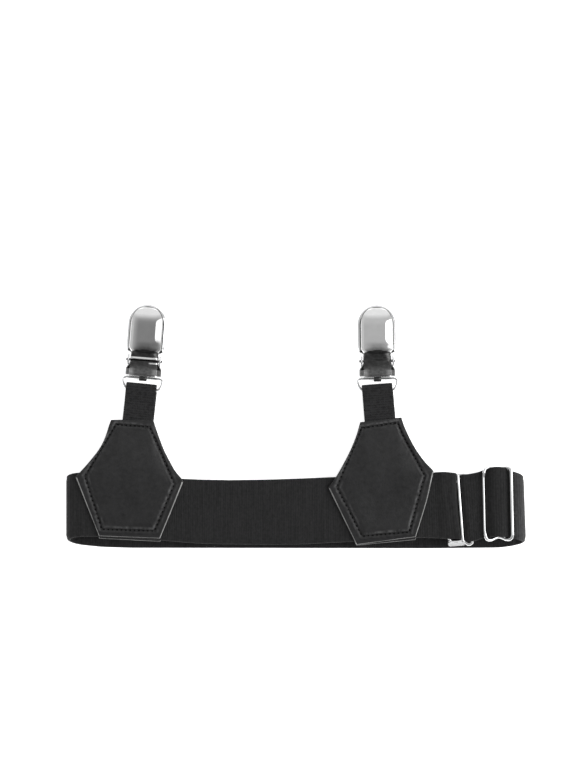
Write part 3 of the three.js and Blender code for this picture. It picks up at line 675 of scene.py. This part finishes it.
def make_strap(name, side):
    cloth = 0.84
    radius = STRAP["nose"] - cloth / 2

    def layer(distance, over):
        """A point of the upper layer's middle line (over = 1), or of the lower one's (-1)."""
        half = mix(STRAP["nose"], STRAP["half_thick"], smoothstep(distance / STRAP["neck"]))
        return -distance, strap_height(distance) + over * (half - cloth / 2)

    path = [layer(distance, 1) for distance in np.linspace(STRAP["length"], 0, 60)]
    for turn in np.linspace(math.pi / 2, -math.pi / 2, 22):
        path.append((STRAP["nose_at"] + radius * math.cos(turn), RING["lower_z"] + radius * math.sin(turn)))
    fold_end = len(path)
    path += [layer(distance, -1) for distance in np.linspace(0, STRAP["length"], 60)]
    path = np.array(path)
    along = unit(np.gradient(path, axis=0))
    normals = np.stack([np.zeros(len(path)), -along[:, 1], along[:, 0]], axis=1)
    lower = np.insert(path, 0, -STRAP["half_width"], axis=1)
    upper = lower * (-1, 1, 1)
    # the lower layer lies a little to the right of the upper one
    lower[fold_end + 1:, 0] += 0.35
    upper[fold_end + 1:, 0] += 0.25
    rings, uv = ribbon(np.stack([lower, upper], axis=1), normals, cloth, 14, 0.06, 1.0)
    points, faces = loft(rings)
    points = turned(points, side["strap_turn"], side["strap_x"], side["strap_y"])
    strap = piece(f"strap_cloth_{name}", (points, faces), strap_cloth,
                  stands_for=[f"strap_{name}"], uv=uv)


# Leather patches: chords from top to bottom as (left x, left y, right x, right y)

PATCH_CHORDS = {
    "left": [
        (-83.0, 2.5, -64.1, 2.6), (-83.9, 0.0, -63.2, -0.2), (-85.7, -5.6, -61.1, -6.0),
        (-88.2, -10.6, -58.9, -11.4), (-92.1, -15.7, -56.4, -16.2), (-95.3, -19.4, -54.0, -20.4),
        (-98.6, -23.0, -50.2, -25.0), (-93.4, -36.2, -55.4, -37.8), (-88.1, -49.5, -60.7, -50.6),
    ],
    "right": [
        (29.2, 1.4, 47.8, 3.6), (28.3, -1.8, 49.0, -0.2), (26.9, -6.0, 51.6, -6.0),
        (24.7, -11.2, 54.6, -11.4), (21.6, -17.2, 58.1, -16.2), (18.0, -23.5, 60.4, -18.6),
        (14.8, -27.8, 62.0, -20.4), (21.1, -40.7, 58.9, -34.0), (27.4, -53.4, 54.0, -49.9),
    ],
}
BACK_DROP = {"left": (1.3, 1.6), "right": (0.5, 1.5)}
STITCH_CORNERS = {
    "left": [(-80.7, 0.4), (-65.5, -0.7), (-54.2, -26.2), (-63.2, -47.3), (-86.8, -46.5), (-94.4, -22.8)],
    "right": [(29.9, -1.2), (46.0, 1.3), (48.0, -3.7), (58.0, -22.5), (51.1, -47.8), (29.9, -49.6),
              (18.6, -27.6)],
}
STITCH_PITCH = 2.0


def strap_distance(side, x, y):
    turn = math.radians(side["strap_turn"])
    return (x - side["strap_x"]) * math.sin(turn) - (y - side["strap_y"]) * math.cos(turn)


def past_strap(side, x, y):
    """0 over the strap, 1 where the leathers hold the band alone."""
    return smoothstep((strap_distance(side, x, y) - STRAP["length"] - 1.0) / 4.0)


def leather_inner(side, corners, x, y, facing):
    """Height of the face that a leather turns to the band and the strap."""
    distance = strap_distance(side, x, y)
    close, wide = ELASTIC / 2 + GAP, STRAP["half_thick"] + GAP
    room = mix(wide, close, past_strap(side, x, y))
    # beside the strap and above the band, the two leathers draw together towards their seam
    turn = math.radians(side["strap_turn"])
    across = (x - side["strap_x"]) * math.cos(turn) + (y - side["strap_y"]) * math.sin(turn)
    beside = np.maximum(np.abs(across) - STRAP["half_width"] - 0.5, 0)
    above = np.maximum(y - np.interp(x, *FRONT_EDGE) - 0.6, 0)
    free = beside * above / (beside + above + 0.01)
    drawn = smoothstep(free / (free + np.maximum(seam_depth(corners, x, y), 0) + 0.8))
    return strap_height(distance) + facing * mix(room, GAP / 2, drawn)


def seam_distance(corners, x, y):
    """Distance to the stitch line, and whether a point is inside it."""
    x, y = np.asarray(x, float), np.asarray(y, float)
    nearest = np.full(x.shape, 1e9)
    inside = np.zeros(x.shape, bool)
    for (ax, ay), (bx, by) in zip(corners, corners[1:] + corners[:1]):
        dx, dy = bx - ax, by - ay
        t = np.clip(((x - ax) * dx + (y - ay) * dy) / (dx * dx + dy * dy), 0, 1)
        nearest = np.minimum(nearest, np.hypot(x - ax - t * dx, y - ay - t * dy))
        inside ^= ((ay > y) != (by > y)) & (x < ax + dx * (y - ay) / (dy if abs(dy) > 1e-9 else 1e-9))
    return nearest, inside


def seam_depth(corners, x, y):
    """Distance in from the stitch line, negative outside it."""
    nearest, inside = seam_distance(corners, x, y)
    return np.where(inside, nearest, -nearest)


def stitch_places(corners):
    """Middle and direction of each stitch along the seam."""
    places = []
    for (ax, ay), (bx, by) in zip(corners, corners[1:] + corners[:1]):
        length = math.hypot(bx - ax, by - ay)
        count = max(1, round(length / STITCH_PITCH))
        for k in range(count):
            t = (k + 0.5) / count
            places.append((mix(ax, bx, t), mix(ay, by, t), math.atan2(by - ay, bx - ax)))
    return places


def leather_outer(side, corners, places, x, y, facing):
    """Outer face: full between the seams, drawn in along them and at each stitch."""
    nearest, inside = seam_distance(corners, x, y)
    relief = 0.18 * smoothstep(nearest / 3.2) * inside - 0.14 * np.exp(-(nearest / 0.45) ** 2)
    for px, py, turn in places:
        for end in (-1, 1):
            ex = px + end * 0.5 * STITCH_PITCH * math.cos(turn)
            ey = py + end * 0.5 * STITCH_PITCH * math.sin(turn)
            relief = relief - 0.2 * np.exp(-(((x - ex) ** 2 + (y - ey) ** 2) / 0.35 ** 2))
    over = past_strap(side, x, y) - smoothstep((strap_distance(side, x, y) - 31.0) / 15.0)
    relief = relief + over * (STRAP["half_thick"] - ELASTIC / 2)
    swell = 0.10 * np.sin(0.21 * x + 0.8) * np.sin(0.17 * y + 0.31 * x) * inside
    return leather_inner(side, corners, x, y, facing) + facing * (LEATHER + relief + swell)


def catmull(rows, t):
    """A smooth row between the rows of a table."""
    rows = np.array(rows, float)
    i = int(min(max(math.floor(t), 0), len(rows) - 2))
    f = t - i
    p0, p1, p2, p3 = (rows[min(max(i + k, 0), len(rows) - 1)] for k in (-1, 0, 1, 2))
    return 0.5 * (2 * p1 + (p2 - p0) * f + (2 * p0 - 5 * p1 + 4 * p2 - p3) * f ** 2
                  + (3 * p1 - p0 - 3 * p2 + p3) * f ** 3)


def make_patch(name, side, facing):
    label = "front" if facing > 0 else "back"
    chords = [list(c) for c in PATCH_CHORDS[name]]
    if facing < 0:
        chords[-1][1] -= BACK_DROP[name][0]
        chords[-1][3] -= BACK_DROP[name][1]
    corner_row, upper_rows = 6, 58
    rows = [catmull(chords[:corner_row + 1], t) for t in np.linspace(0, corner_row, upper_rows)]
    rows += [catmull(chords[corner_row:], t) for t in np.linspace(0, 2, 50)[1:]]
    rows = np.array(rows)
    # a narrow margin all round, for the rounded and the cut edge
    ends = np.array([0.0, 0.004, 0.012])
    spread = np.concatenate([ends, np.linspace(0.025, 0.975, 84), 1 - ends[::-1]])
    bite = (0.34, 0.12, 0.02)
    rows = np.vstack([mix(rows[0], rows[1], d) for d in (0.0, 0.2, 0.6)] + [rows[1:-1]]
                     + [mix(rows[-1], rows[-2], d) for d in (0.6, 0.2, 0.0)])
    x = rows[:, 0:1] + (rows[:, 2:3] - rows[:, 0:1]) * spread
    y = rows[:, 1:2] + (rows[:, 3:4] - rows[:, 1:2]) * spread
    corners = STITCH_CORNERS[name]
    places = stitch_places(corners)
    outer = leather_outer(side, corners, places, x, y, facing)
    inner = leather_inner(side, corners, x, y, facing)
    fall = np.zeros(x.shape)
    for k in range(3):
        for index in (k, -1 - k):
            fall[index, :] = np.maximum(fall[index, :], bite[k])
            fall[:, index] = np.maximum(fall[:, index], bite[k])
    outer = outer - facing * fall
    count_rows, count_columns = x.shape
    # below this row, at the wide corners, the edge is cut and pale
    corner_line = upper_rows + 1
    top = np.stack([x, y, outer], axis=2).reshape(-1, 3)
    under = np.stack([x, y, inner], axis=2).reshape(-1, 3)
    base = len(top)
    depth_in = seam_depth(corners, x, y)
    step = 0.05
    slope_x = seam_depth(corners, x + step, y) - seam_depth(corners, x - step, y)
    slope_y = seam_depth(corners, x, y + step) - seam_depth(corners, x, y - step)
    # how far the seam's ridges face the light from the right and the front, which sets their painted
    # highlight
    facing_light = -np.sign(depth_in) * (0.8 * slope_x - 0.6 * slope_y) / (2 * step)
    marks = np.stack([depth_in.ravel(), np.clip(facing_light, 0, 1).ravel()], axis=1)
    faces, picks = [], []

    def cell(r, c):
        return r * count_columns + c

    for r in range(count_rows - 1):
        for c in range(count_columns - 1):
            quad = (cell(r, c), cell(r, c + 1), cell(r + 1, c + 1), cell(r + 1, c))
            rim = (r > corner_line and (c < 2 or c > count_columns - 4)) or r > count_rows - 4
            faces += [quad, tuple(base + i for i in reversed(quad))]
            picks += [int(rim)] * 2
    border = [cell(0, c) for c in range(count_columns)]
    border += [cell(r, count_columns - 1) for r in range(1, count_rows)]
    border += [cell(count_rows - 1, c) for c in range(count_columns - 2, -1, -1)]
    border += [cell(r, 0) for r in range(count_rows - 2, 0, -1)]
    for a, b in zip(border, border[1:] + border[:1]):
        faces.append((b, a, base + a, base + b))
        picks.append(int(a // count_columns > corner_line))
    patch = piece(f"leather_{label}_{name}", (np.vstack([top, under]), faces), leather,
                  stands_for=[f"patch_{label}_{name}"], uv=np.vstack([marks, marks]),
                  more=[raw_edge], picks=picks)
    sharpen(patch, 50)
    make_stitches(f"stitches_{label}_{name}", side, corners, places, facing)


def make_stitches(name, side, corners, places, facing):
    """Short bowed lengths of thread that dive into the leather at both ends."""
    steps, angles, radius = 9, circle(8), 0.3
    parts = []
    jitter = np.random.default_rng(len(name) + int(facing))
    for px, py, turn in places:
        turn = turn + jitter.normal(0, 0.09)
        length = STITCH_PITCH * (0.53 + jitter.normal(0, 0.06))
        rings = []
        for t in np.linspace(-1, 1, steps):
            x = px + 0.5 * length * t * math.cos(turn)
            y = py + 0.5 * length * t * math.sin(turn)
            inner = float(leather_inner(side, corners, np.array(x), np.array(y), facing))
            z = inner + facing * (LEATHER - 0.11 - 0.42 * abs(t) ** 3.2)
            width = radius * (1.0 - 0.25 * abs(t) ** 4)
            rings.append(np.stack([
                x - width * np.cos(angles) * math.sin(turn),
                y + width * np.cos(angles) * math.cos(turn),
                z + width * np.sin(angles),
            ], axis=1))
        parts.append(loft(rings))
    piece(name, merged(*parts), thread)


# Slider and connector

def make_slider():
    s = SLIDER
    pitch, height, z = s["half_pitch"], s["half_height"], s["z"]
    quarter = [
        (pitch, 0, z), (pitch, height - 4.0, z), (pitch - 0.1, height - 1.6, z),
        (pitch - 0.7, height - 0.4, z - 0.2), (pitch - 1.7, height, z - 0.7),
        (s["cup"], height - 0.1, z - 1.5), (1.6, height - 0.8, z - 2.3),
    ]
    peak = (0, height - s["peak"], BAR_Z)

    def flipped(u, w):
        return [(u * p[0], w * p[1], p[2]) for p in quarter]

    route = flipped(1, 1) + [peak] + flipped(-1, 1)[::-1] + flipped(-1, -1)[1:]
    route += [(0, -peak[1], peak[2])] + flipped(1, -1)[:0:-1]
    path = closed_spline(route, 260)
    marked_zone = smoothstep((-4.9 - path[:, 0]) / 0.9) * smoothstep((14.2 - np.abs(path[:, 1])) / 2.5)
    path[:, 0] -= 0.3 * marked_zone
    wire = tube(path, WIRE - 0.24 * marked_zone)
    centre = straight_bar(WIRE, (0, -peak[1], BAR_Z), (0, peak[1], BAR_Z), "y")
    points, faces = merged(wire, centre)
    piece("slider_wire", (turned(points, s["lean"], s["x"], s["y"] + 0.35), faces), bright,
          stands_for=["slider"])


def make_connector():
    c = CONNECTOR
    left, right, top, bottom = c["left"], c["right"], c["top"], c["strip_top"] - 1.1
    route = [
        (left, 0), (left, top - 3), (left + 0.3, top - 0.5), (left + 1.6, top), (-0.6, top - 0.1),
        (right - 1.4, top), (right - 0.2, top - 0.5), (right, top - 3), (right, 0), (right, bottom + 1),
        (right - 0.2, bottom - 1.6), (right - 1.6, bottom - 2.2), (0.4, bottom - 0.9),
        (left + 1.2, bottom - 1.0), (left, bottom + 1.2),
    ]
    wire = tube(closed_spline([(u, w, BAR_Z) for u, w in route], 260), WIRE)
    bar, bar_faces = straight_bar(WIRE, (0, bottom - 1.0, 0), (0, top, 0), "y")
    bar[:, 2] = BAR_Z + 0.7 + 0.6 * bar[:, 2] - 0.3 * bar[:, 0]
    points, faces = merged(wire, (bar, bar_faces), connector_strip())
    piece("connector_wire", (turned(points, c["lean"], c["x"], c["y"]), faces), bright,
          stands_for=["connector"])


def connector_strip():
    """The pressed strip at the lower end, with three ridges along it."""
    c = CONNECTOR
    left, right = c["left"] - WIRE, WIRE
    height = c["strip_top"] - c["strip_bottom"]
    half = c["strip_thick"] / 2
    rings = []
    for x in np.linspace(left, right, 40):
        end = min(x - left, right - x)
        draw = 0.9 * (1 - math.sqrt(max(0.0, 1 - (1 - min(end / 1.2, 1)) ** 2)))
        ring = []
        for w, over in [(w, 1) for w in np.linspace(0, 1, 28)] + [(w, -1) for w in np.linspace(1, 0, 12)]:
            crown = math.sqrt(max(0.02, 1 - abs(2 * w - 1) ** 12))
            ridge = 0.025 * math.cos(2 * math.pi * 3 * w) * crown if over > 0 else 0
            ring.append((x, c["strip_top"] - (height - draw) * w,
                         BAR_Z + 0.25 + over * half * crown + ridge + 1.7 * (w - 0.5)))
        rings.append(ring)
    return loft(rings)


# D-rings

def make_ring(name, side):
    r = RING
    top, bulge, lower, height = r["top"], r["bulge"], r["lower"], r["height"]
    half = [
        (0, 0), (top - 2.4, 0), (top, -0.05), (bulge - 0.1, -0.7), (bulge, -1.7), (bulge - 0.4, -3.3),
        (lower + 0.7, -height + 0.5), (lower - 1.4, -height), (0, -height),
    ]
    route = half + [(-x, y) for x, y in half[-2:0:-1]]
    points = [(x, y, mix(r["top_z"], r["lower_z"], -y / height)) for x, y in route]
    wire, faces = tube(closed_spline(points, 200), r["wire"], 12)
    piece(f"ring_wire_{name}", (turned(wire, side["clip_turn"], side["x"], side["y"]), faces), shaded_ring_metal,
          stands_for=[f"ring_{name}"])


# Clips, in their own frame: the pin above the origin, the mouth along +Y

MOUTH_Y = 25.5
BILL_HALF = 8.75
JAW_TABLE = [
    # y, half width, rim, crown
    (24.2, 2.4, 0.9, 1.8), (23.6, 4.2, 0.9, 2.6), (22.4, 5.7, 0.9, 3.5), (20.4, 6.8, 0.9, 4.5),
    (17.4, 7.35, 0.9, 5.2), (13.0, 7.45, 0.9, 5.45), (9.4, 7.45, 0.9, 5.4), (6.6, 7.4, 0.9, 5.05),
    (4.9, 7.1, 1.1, 4.82), (3.9, 6.4, 1.5, 4.66), (2.8, 6.15, 2.2, 4.45), (0.0, 6.15, 3.0, 4.25),
    (-3.4, 6.2, 4.0, 5.1), (-7.3, 6.2, 5.4, 6.4),
]
JAW_POWER = 2.7


def clip_place(points, side):
    """From a clip's own frame to the model's."""
    p = np.array(points, float)
    p[..., 1] -= CLIP["hinge_y"]
    return turned(p, side["clip_turn"], side["x"], side["y"])


def base_outline(count=220):
    round_depth = 9.2
    round_start = MOUTH_Y - round_depth
    tail = CLIP["tail_y"]
    half = [(8.0, tail), (8.2, tail + 0.3), (8.2, -3.8), (6.35, -0.9), (6.3, 3.2), (8.0, 3.9)]
    for t in np.linspace(0, 1, 8)[1:]:
        a, b, c = np.array((8.0, 3.9)), np.array((BILL_HALF, 5.5)), np.array((BILL_HALF, 9.0))
        half.append(tuple(mix(mix(a, b, t), mix(b, c, t), t)))
    for angle in np.linspace(0, math.pi / 2, 30):
        half.append((BILL_HALF * math.cos(angle), round_start + round_depth * math.sin(angle)))
    return resampled(half + [(-x, y) for x, y in half[-2::-1]], count)


def make_clip_base(name, side):
    outline = base_outline()
    along = np.roll(outline, -1, 0) - np.roll(outline, 1, 0)
    inward = unit(np.stack([-along[:, 1], along[:, 0]], axis=1))
    bead = smoothstep((outline[:, 1] - 3.9) / 1.4)
    rings = []
    # on the beaded rim, then on the plain edge: distance in from the edge, and height
    for rolled, plain in [
        ((0.35, 0.0), (0.3, 0.0)), ((0.05, 0.0), (0.05, 0.04)), ((0.0, 0.07), (0.0, 0.14)),
        ((0.10, 0.20), (0.0, 0.3)), ((0.28, 0.38), (0.0, 0.44)), ((0.52, 0.59), (0.05, 0.56)),
        ((0.78, 0.79), (0.12, 0.6)), ((1.00, 0.96), (0.2, 0.6)), ((1.06, 0.94), (0.3, 0.6)),
        ((1.14, 0.6), (0.4, 0.6)), ((1.3, 0.6), (0.6, 0.6)),
    ]:
        reach = mix(plain[0], rolled[0], bead)
        height = mix(plain[1], rolled[1], bead)
        rings.append(np.column_stack([outline + inward * reach[:, None], height]))
    plate = loft(rings)
    cap_start = (len(rings) - 2) * len(outline)
    # the inner floor under the dome and the tongue get the painted-shade metal
    picks = [int(cap_start <= i and i != len(plate[1]) - 2) for i in range(len(plate[1]))]
    ears = pair_of_ears(CLIP["ear"], CLIP["ear_half"], 0.02, CLIP["ear_top"])
    tongue = tongue_shape()
    points, faces = merged(plate, ears, tongue)
    picks += [0] * len(ears[1]) + [1] * len(tongue[1])
    base = piece(f"clip_plate_{name}", (clip_place(points, side), faces), plate_metal,
                 body=f"clip_{name}", stands_for=[f"clip_base_{name}"], uv=points[:, :2],
                 more=[painted_shade_metal], picks=picks)
    sharpen(base, 45)


def ear_shape(x_inner, x_outer, half, bottom, top, steps=15):
    """An upright plate with a rounded top, bevelled along its outline."""
    outline = [(-half, bottom)]
    for angle in np.linspace(math.pi, 0, steps):
        outline.append((half * 0.92 * math.cos(angle), top - 1.3 + 1.3 * math.sin(angle)))
    outline.append((half, bottom))
    outline = np.array(outline)
    centre = outline.mean(axis=0)
    bevel = 0.12
    rings = []
    for t, shrink in [(0, bevel), (bevel, 0), (1 - bevel, 0), (1, bevel)]:
        ring = centre + (outline - centre) * (1 - shrink / half)
        rings.append([(mix(x_inner, x_outer, t), y, z) for y, z in ring])
    return loft(rings)


def pair_of_ears(inner, half, bottom, top):
    """Both ears of a sheet part, each from its inner face outwards."""
    outer = inner + CLIP["sheet"]
    return merged(*[ear_shape(flip * inner, flip * outer, half, bottom, top) for flip in (1, -1)])


def tongue_shape():
    """The strip that is rolled round the D-ring's bar."""
    sheet, curl, hinge_y = CLIP["sheet"], CLIP["curl"], CLIP["hinge_y"]
    middle = curl - sheet / 2
    path = [(CLIP["tail_y"] + 0.8, sheet / 2), (hinge_y + 0.3, sheet / 2)]
    for angle in np.linspace(-math.pi / 2, -math.pi * 1.78, 30):
        path.append((hinge_y + middle * math.cos(angle), RING["top_z"] + middle * math.sin(angle)))
    along = unit(np.gradient(np.array(path), axis=0))
    normal = np.stack([-along[:, 1], along[:, 0]], axis=1)
    half, bevel = CLIP["tongue"], 0.12
    corners = [(-half, -0.6), (bevel - half, -1), (half - bevel, -1), (half, -0.6)]
    corners += [(x, -over) for x, over in reversed(corners)]
    return loft([[(x, *(p + n * over * sheet / 2)) for x, over in corners] for p, n in zip(path, normal)])


def make_clip_jaw(name, side, ridge):
    sheet, steps = CLIP["sheet"], 72
    rings = []

    def arch(half, height, rim, y):
        angles = np.linspace(0, math.pi, steps)
        across = np.sign(np.cos(angles)) * np.abs(np.cos(angles)) ** (2 / JAW_POWER)
        rise = np.clip(np.sin(angles), 0, 1) ** (2 / JAW_POWER)
        reach = np.abs(across)
        domed = 0.52 * (1 - reach ** 90) + 0.48 * (1 - reach ** 3.3)
        rise = mix(rise, domed, smoothstep((y - 3.4) / 2.2))
        return np.stack([half * across, np.full(steps, y), rim + height * rise], axis=1)

    for t in np.linspace(0, len(JAW_TABLE) - 1, 150):
        y, half, rim, crown = catmull(JAW_TABLE, t)
        crown += ridge * math.exp(-((y - 0.85) / 0.28) ** 2) - 0.5 * smoothstep((-6.6 - y) / 0.7)
        inner_height = max(crown - rim - sheet, 0.15)
        outside = arch(half, crown - rim, rim + 0.08, y)
        inside = arch(half - sheet, inner_height, rim, y)[::-1]
        rings.append(np.vstack([outside, inside]))
    shell = loft(rings)
    ears = pair_of_ears(CLIP["jaw_ear"], CLIP["jaw_ear_half"], CLIP["jaw_ear_bottom"], CLIP["jaw_ear_top"])
    points, faces = merged(shell, ears)
    jaw = piece(f"clip_dome_{name}", (clip_place(points, side), faces), clip_metal[name],
                body=f"jaw_{name}", stands_for=[f"clip_jaw_{name}"], uv=points[:, :2])
    sharpen(jaw, 45)


def make_clip_pin(name, side):
    half, z = CLIP["pin_half"], CLIP["pin_z"]
    pin = straight_bar(CLIP["pin"], (-half, 0, z), (half, 0, z), "x")
    piece(f"clip_axle_{name}", (clip_place(pin[0], side), pin[1]), pin_metal,
          body=f"clip_{name}", stands_for=[f"clip_pin_{name}"])
    turns = CLIP["coil_turns"]
    steps = turns * 24
    rings = []
    for i in range(steps + 1):
        angle = 2 * math.pi * turns * i / steps
        x = mix(-CLIP["coil_half"], CLIP["coil_half"], i / steps)
        out = np.array((0, math.cos(angle), math.sin(angle)))
        centre = np.array((x, 0, z)) + CLIP["coil"] * out
        rings.append([centre + CLIP["coil_wire"] * (math.cos(a) * out + math.sin(a) * np.array((1, 0, 0)))
                      for a in circle(8)])
    coil = loft(rings)
    piece(f"clip_coil_{name}", (clip_place(coil[0], side), coil[1]), plate_metal,
          body=f"clip_{name}", stands_for=[f"clip_spring_{name}"])


make_band()
make_slider()
make_connector()
for side_name, side_values in SIDES.items():
    make_ring(side_name, side_values)
    make_strap(side_name, side_values)
    make_patch(side_name, side_values, 1)
    make_patch(side_name, side_values, -1)
    make_clip_base(side_name, side_values)
    make_clip_jaw(side_name, side_values, 0.32 if side_name == "left" else 0.12)
    make_clip_pin(side_name, side_values)


# Stage: a plain pale floor and a studio of soft panels

def make_floor():
    n = new_material("floor_white")
    grain = n.noise(8, 3)
    n.set(Base_Color=n.ramp(grain, (0.0, 0.93), (1.0, 0.95)), Roughness=0.9, Specular_IOR_Level=0.0)
    n.set(Emission_Color=(1, 1, 1, 1), Emission_Strength=0.68)
    mesh = bpy.data.meshes.new("floor")
    half = 6.0
    mesh.from_pydata([(half * x, half * y, 0) for x, y in ((-1, -1), (1, -1), (1, 1), (-1, 1))],
                     [], [(0, 1, 2, 3)])
    mesh.materials.append(n.owner)
    floor = bpy.data.objects.new("floor", mesh)
    floor.location.z = -0.0002
    bpy.context.scene.collection.objects.link(floor)


def make_world():
    """A studio by direction: grey overhead, a soft box to the right, dark in front."""
    n = Nodes(bpy.data.worlds.new("studio"))
    bpy.context.scene.world = n.owner
    x, y, z = n.split(n.coordinates("Generated"))
    overhead = n.zone(y, 0.0, 0.32, 0.465, 0.56)
    low = n.zone(z, 0.80, 0.46, 0.0, 0.63)
    back = n.zone(y, 0.34, 0.80, 0.50, 0.92)
    level = n.math("MAXIMUM", n.math("MAXIMUM", overhead, low), back)
    # the soft box's rounded outline: 1 on it, less inside
    wide = n.math("POWER", n.math("ABSOLUTE", n.linear(x, 2.5, -2.05)), 3.4)
    high = n.math("POWER", n.math("ABSOLUTE", n.linear(y, 3.4, -0.2)), 3.4)
    box = n.times(n.zone(n.plus(wide, high), 1.1, 0.8), n.zone(z, 0.18, 0.26))
    box = n.times(box, n.zone(y, -0.30, -0.06))
    level = n.math("MAXIMUM", level, n.times(box, 3.0))
    dusk = n.zone(y, -0.16, -0.44, 0.0, 0.62)
    night = n.zone(y, -0.48, -0.60, 0.0, 0.32)
    front = n.times(n.plus(dusk, night), n.zone(z, 0.50, 0.76))
    level = n.times(level, n.math("SUBTRACT", 1.0, front))
    n.fill(n.tree.nodes["Background"], Color=level, Strength=1.0)


def make_panel(name, place, size, power):
    """A soft light that faces the origin."""
    light = bpy.data.lights.new(name, "AREA")
    light.shape = "RECTANGLE"
    light.size, light.size_y = size
    light.energy = power
    obj = bpy.data.objects.new(name, light)
    obj.location = place
    obj.rotation_mode = "QUATERNION"
    obj.rotation_quaternion = (-Vector(place)).to_track_quat("-Z", "Y")
    obj.visible_glossy = False
    bpy.context.scene.collection.objects.link(obj)


def make_camera():
    """Straight above, as the photo shows the part lying: 0.45 mm to a pixel."""
    pixel, photo_height = 0.45, 768
    middle = (288.0, photo_height / 2)
    model_centre = (295.35, 425.4)
    height, front_height = 1.2, 0.0055
    camera = bpy.data.cameras.new("camera")
    camera.sensor_width = 36.0
    camera.lens = camera.sensor_width * (height - front_height) / (photo_height * pixel / 1000)
    camera.clip_start, camera.clip_end = 0.05, 20.0
    obj = bpy.data.objects.new("camera", camera)
    obj.location = (
        ((middle[0] - model_centre[0]) * pixel + SHIFT[0]) / 1000,
        ((model_centre[1] - middle[1]) * pixel + SHIFT[1]) / 1000,
        height,
    )
    bpy.context.scene.collection.objects.link(obj)
    bpy.context.scene.camera = obj


make_floor()
make_world()
make_panel("panel_right", (1.5, -0.1, 0.95), (0.8, 1.4), 25)
make_panel("panel_left", (-1.5, 0.2, 0.9), (0.8, 1.6), 3)
make_panel("panel_front", (0.2, -1.5, 0.95), (1.8, 0.8), 3.5)
make_panel("panel_back", (0.0, 1.5, 0.9), (2.0, 0.8), 1)
make_camera()
bpy.context.scene.view_settings.view_transform = "Standard"
bpy.context.scene.view_settings.look = "None"
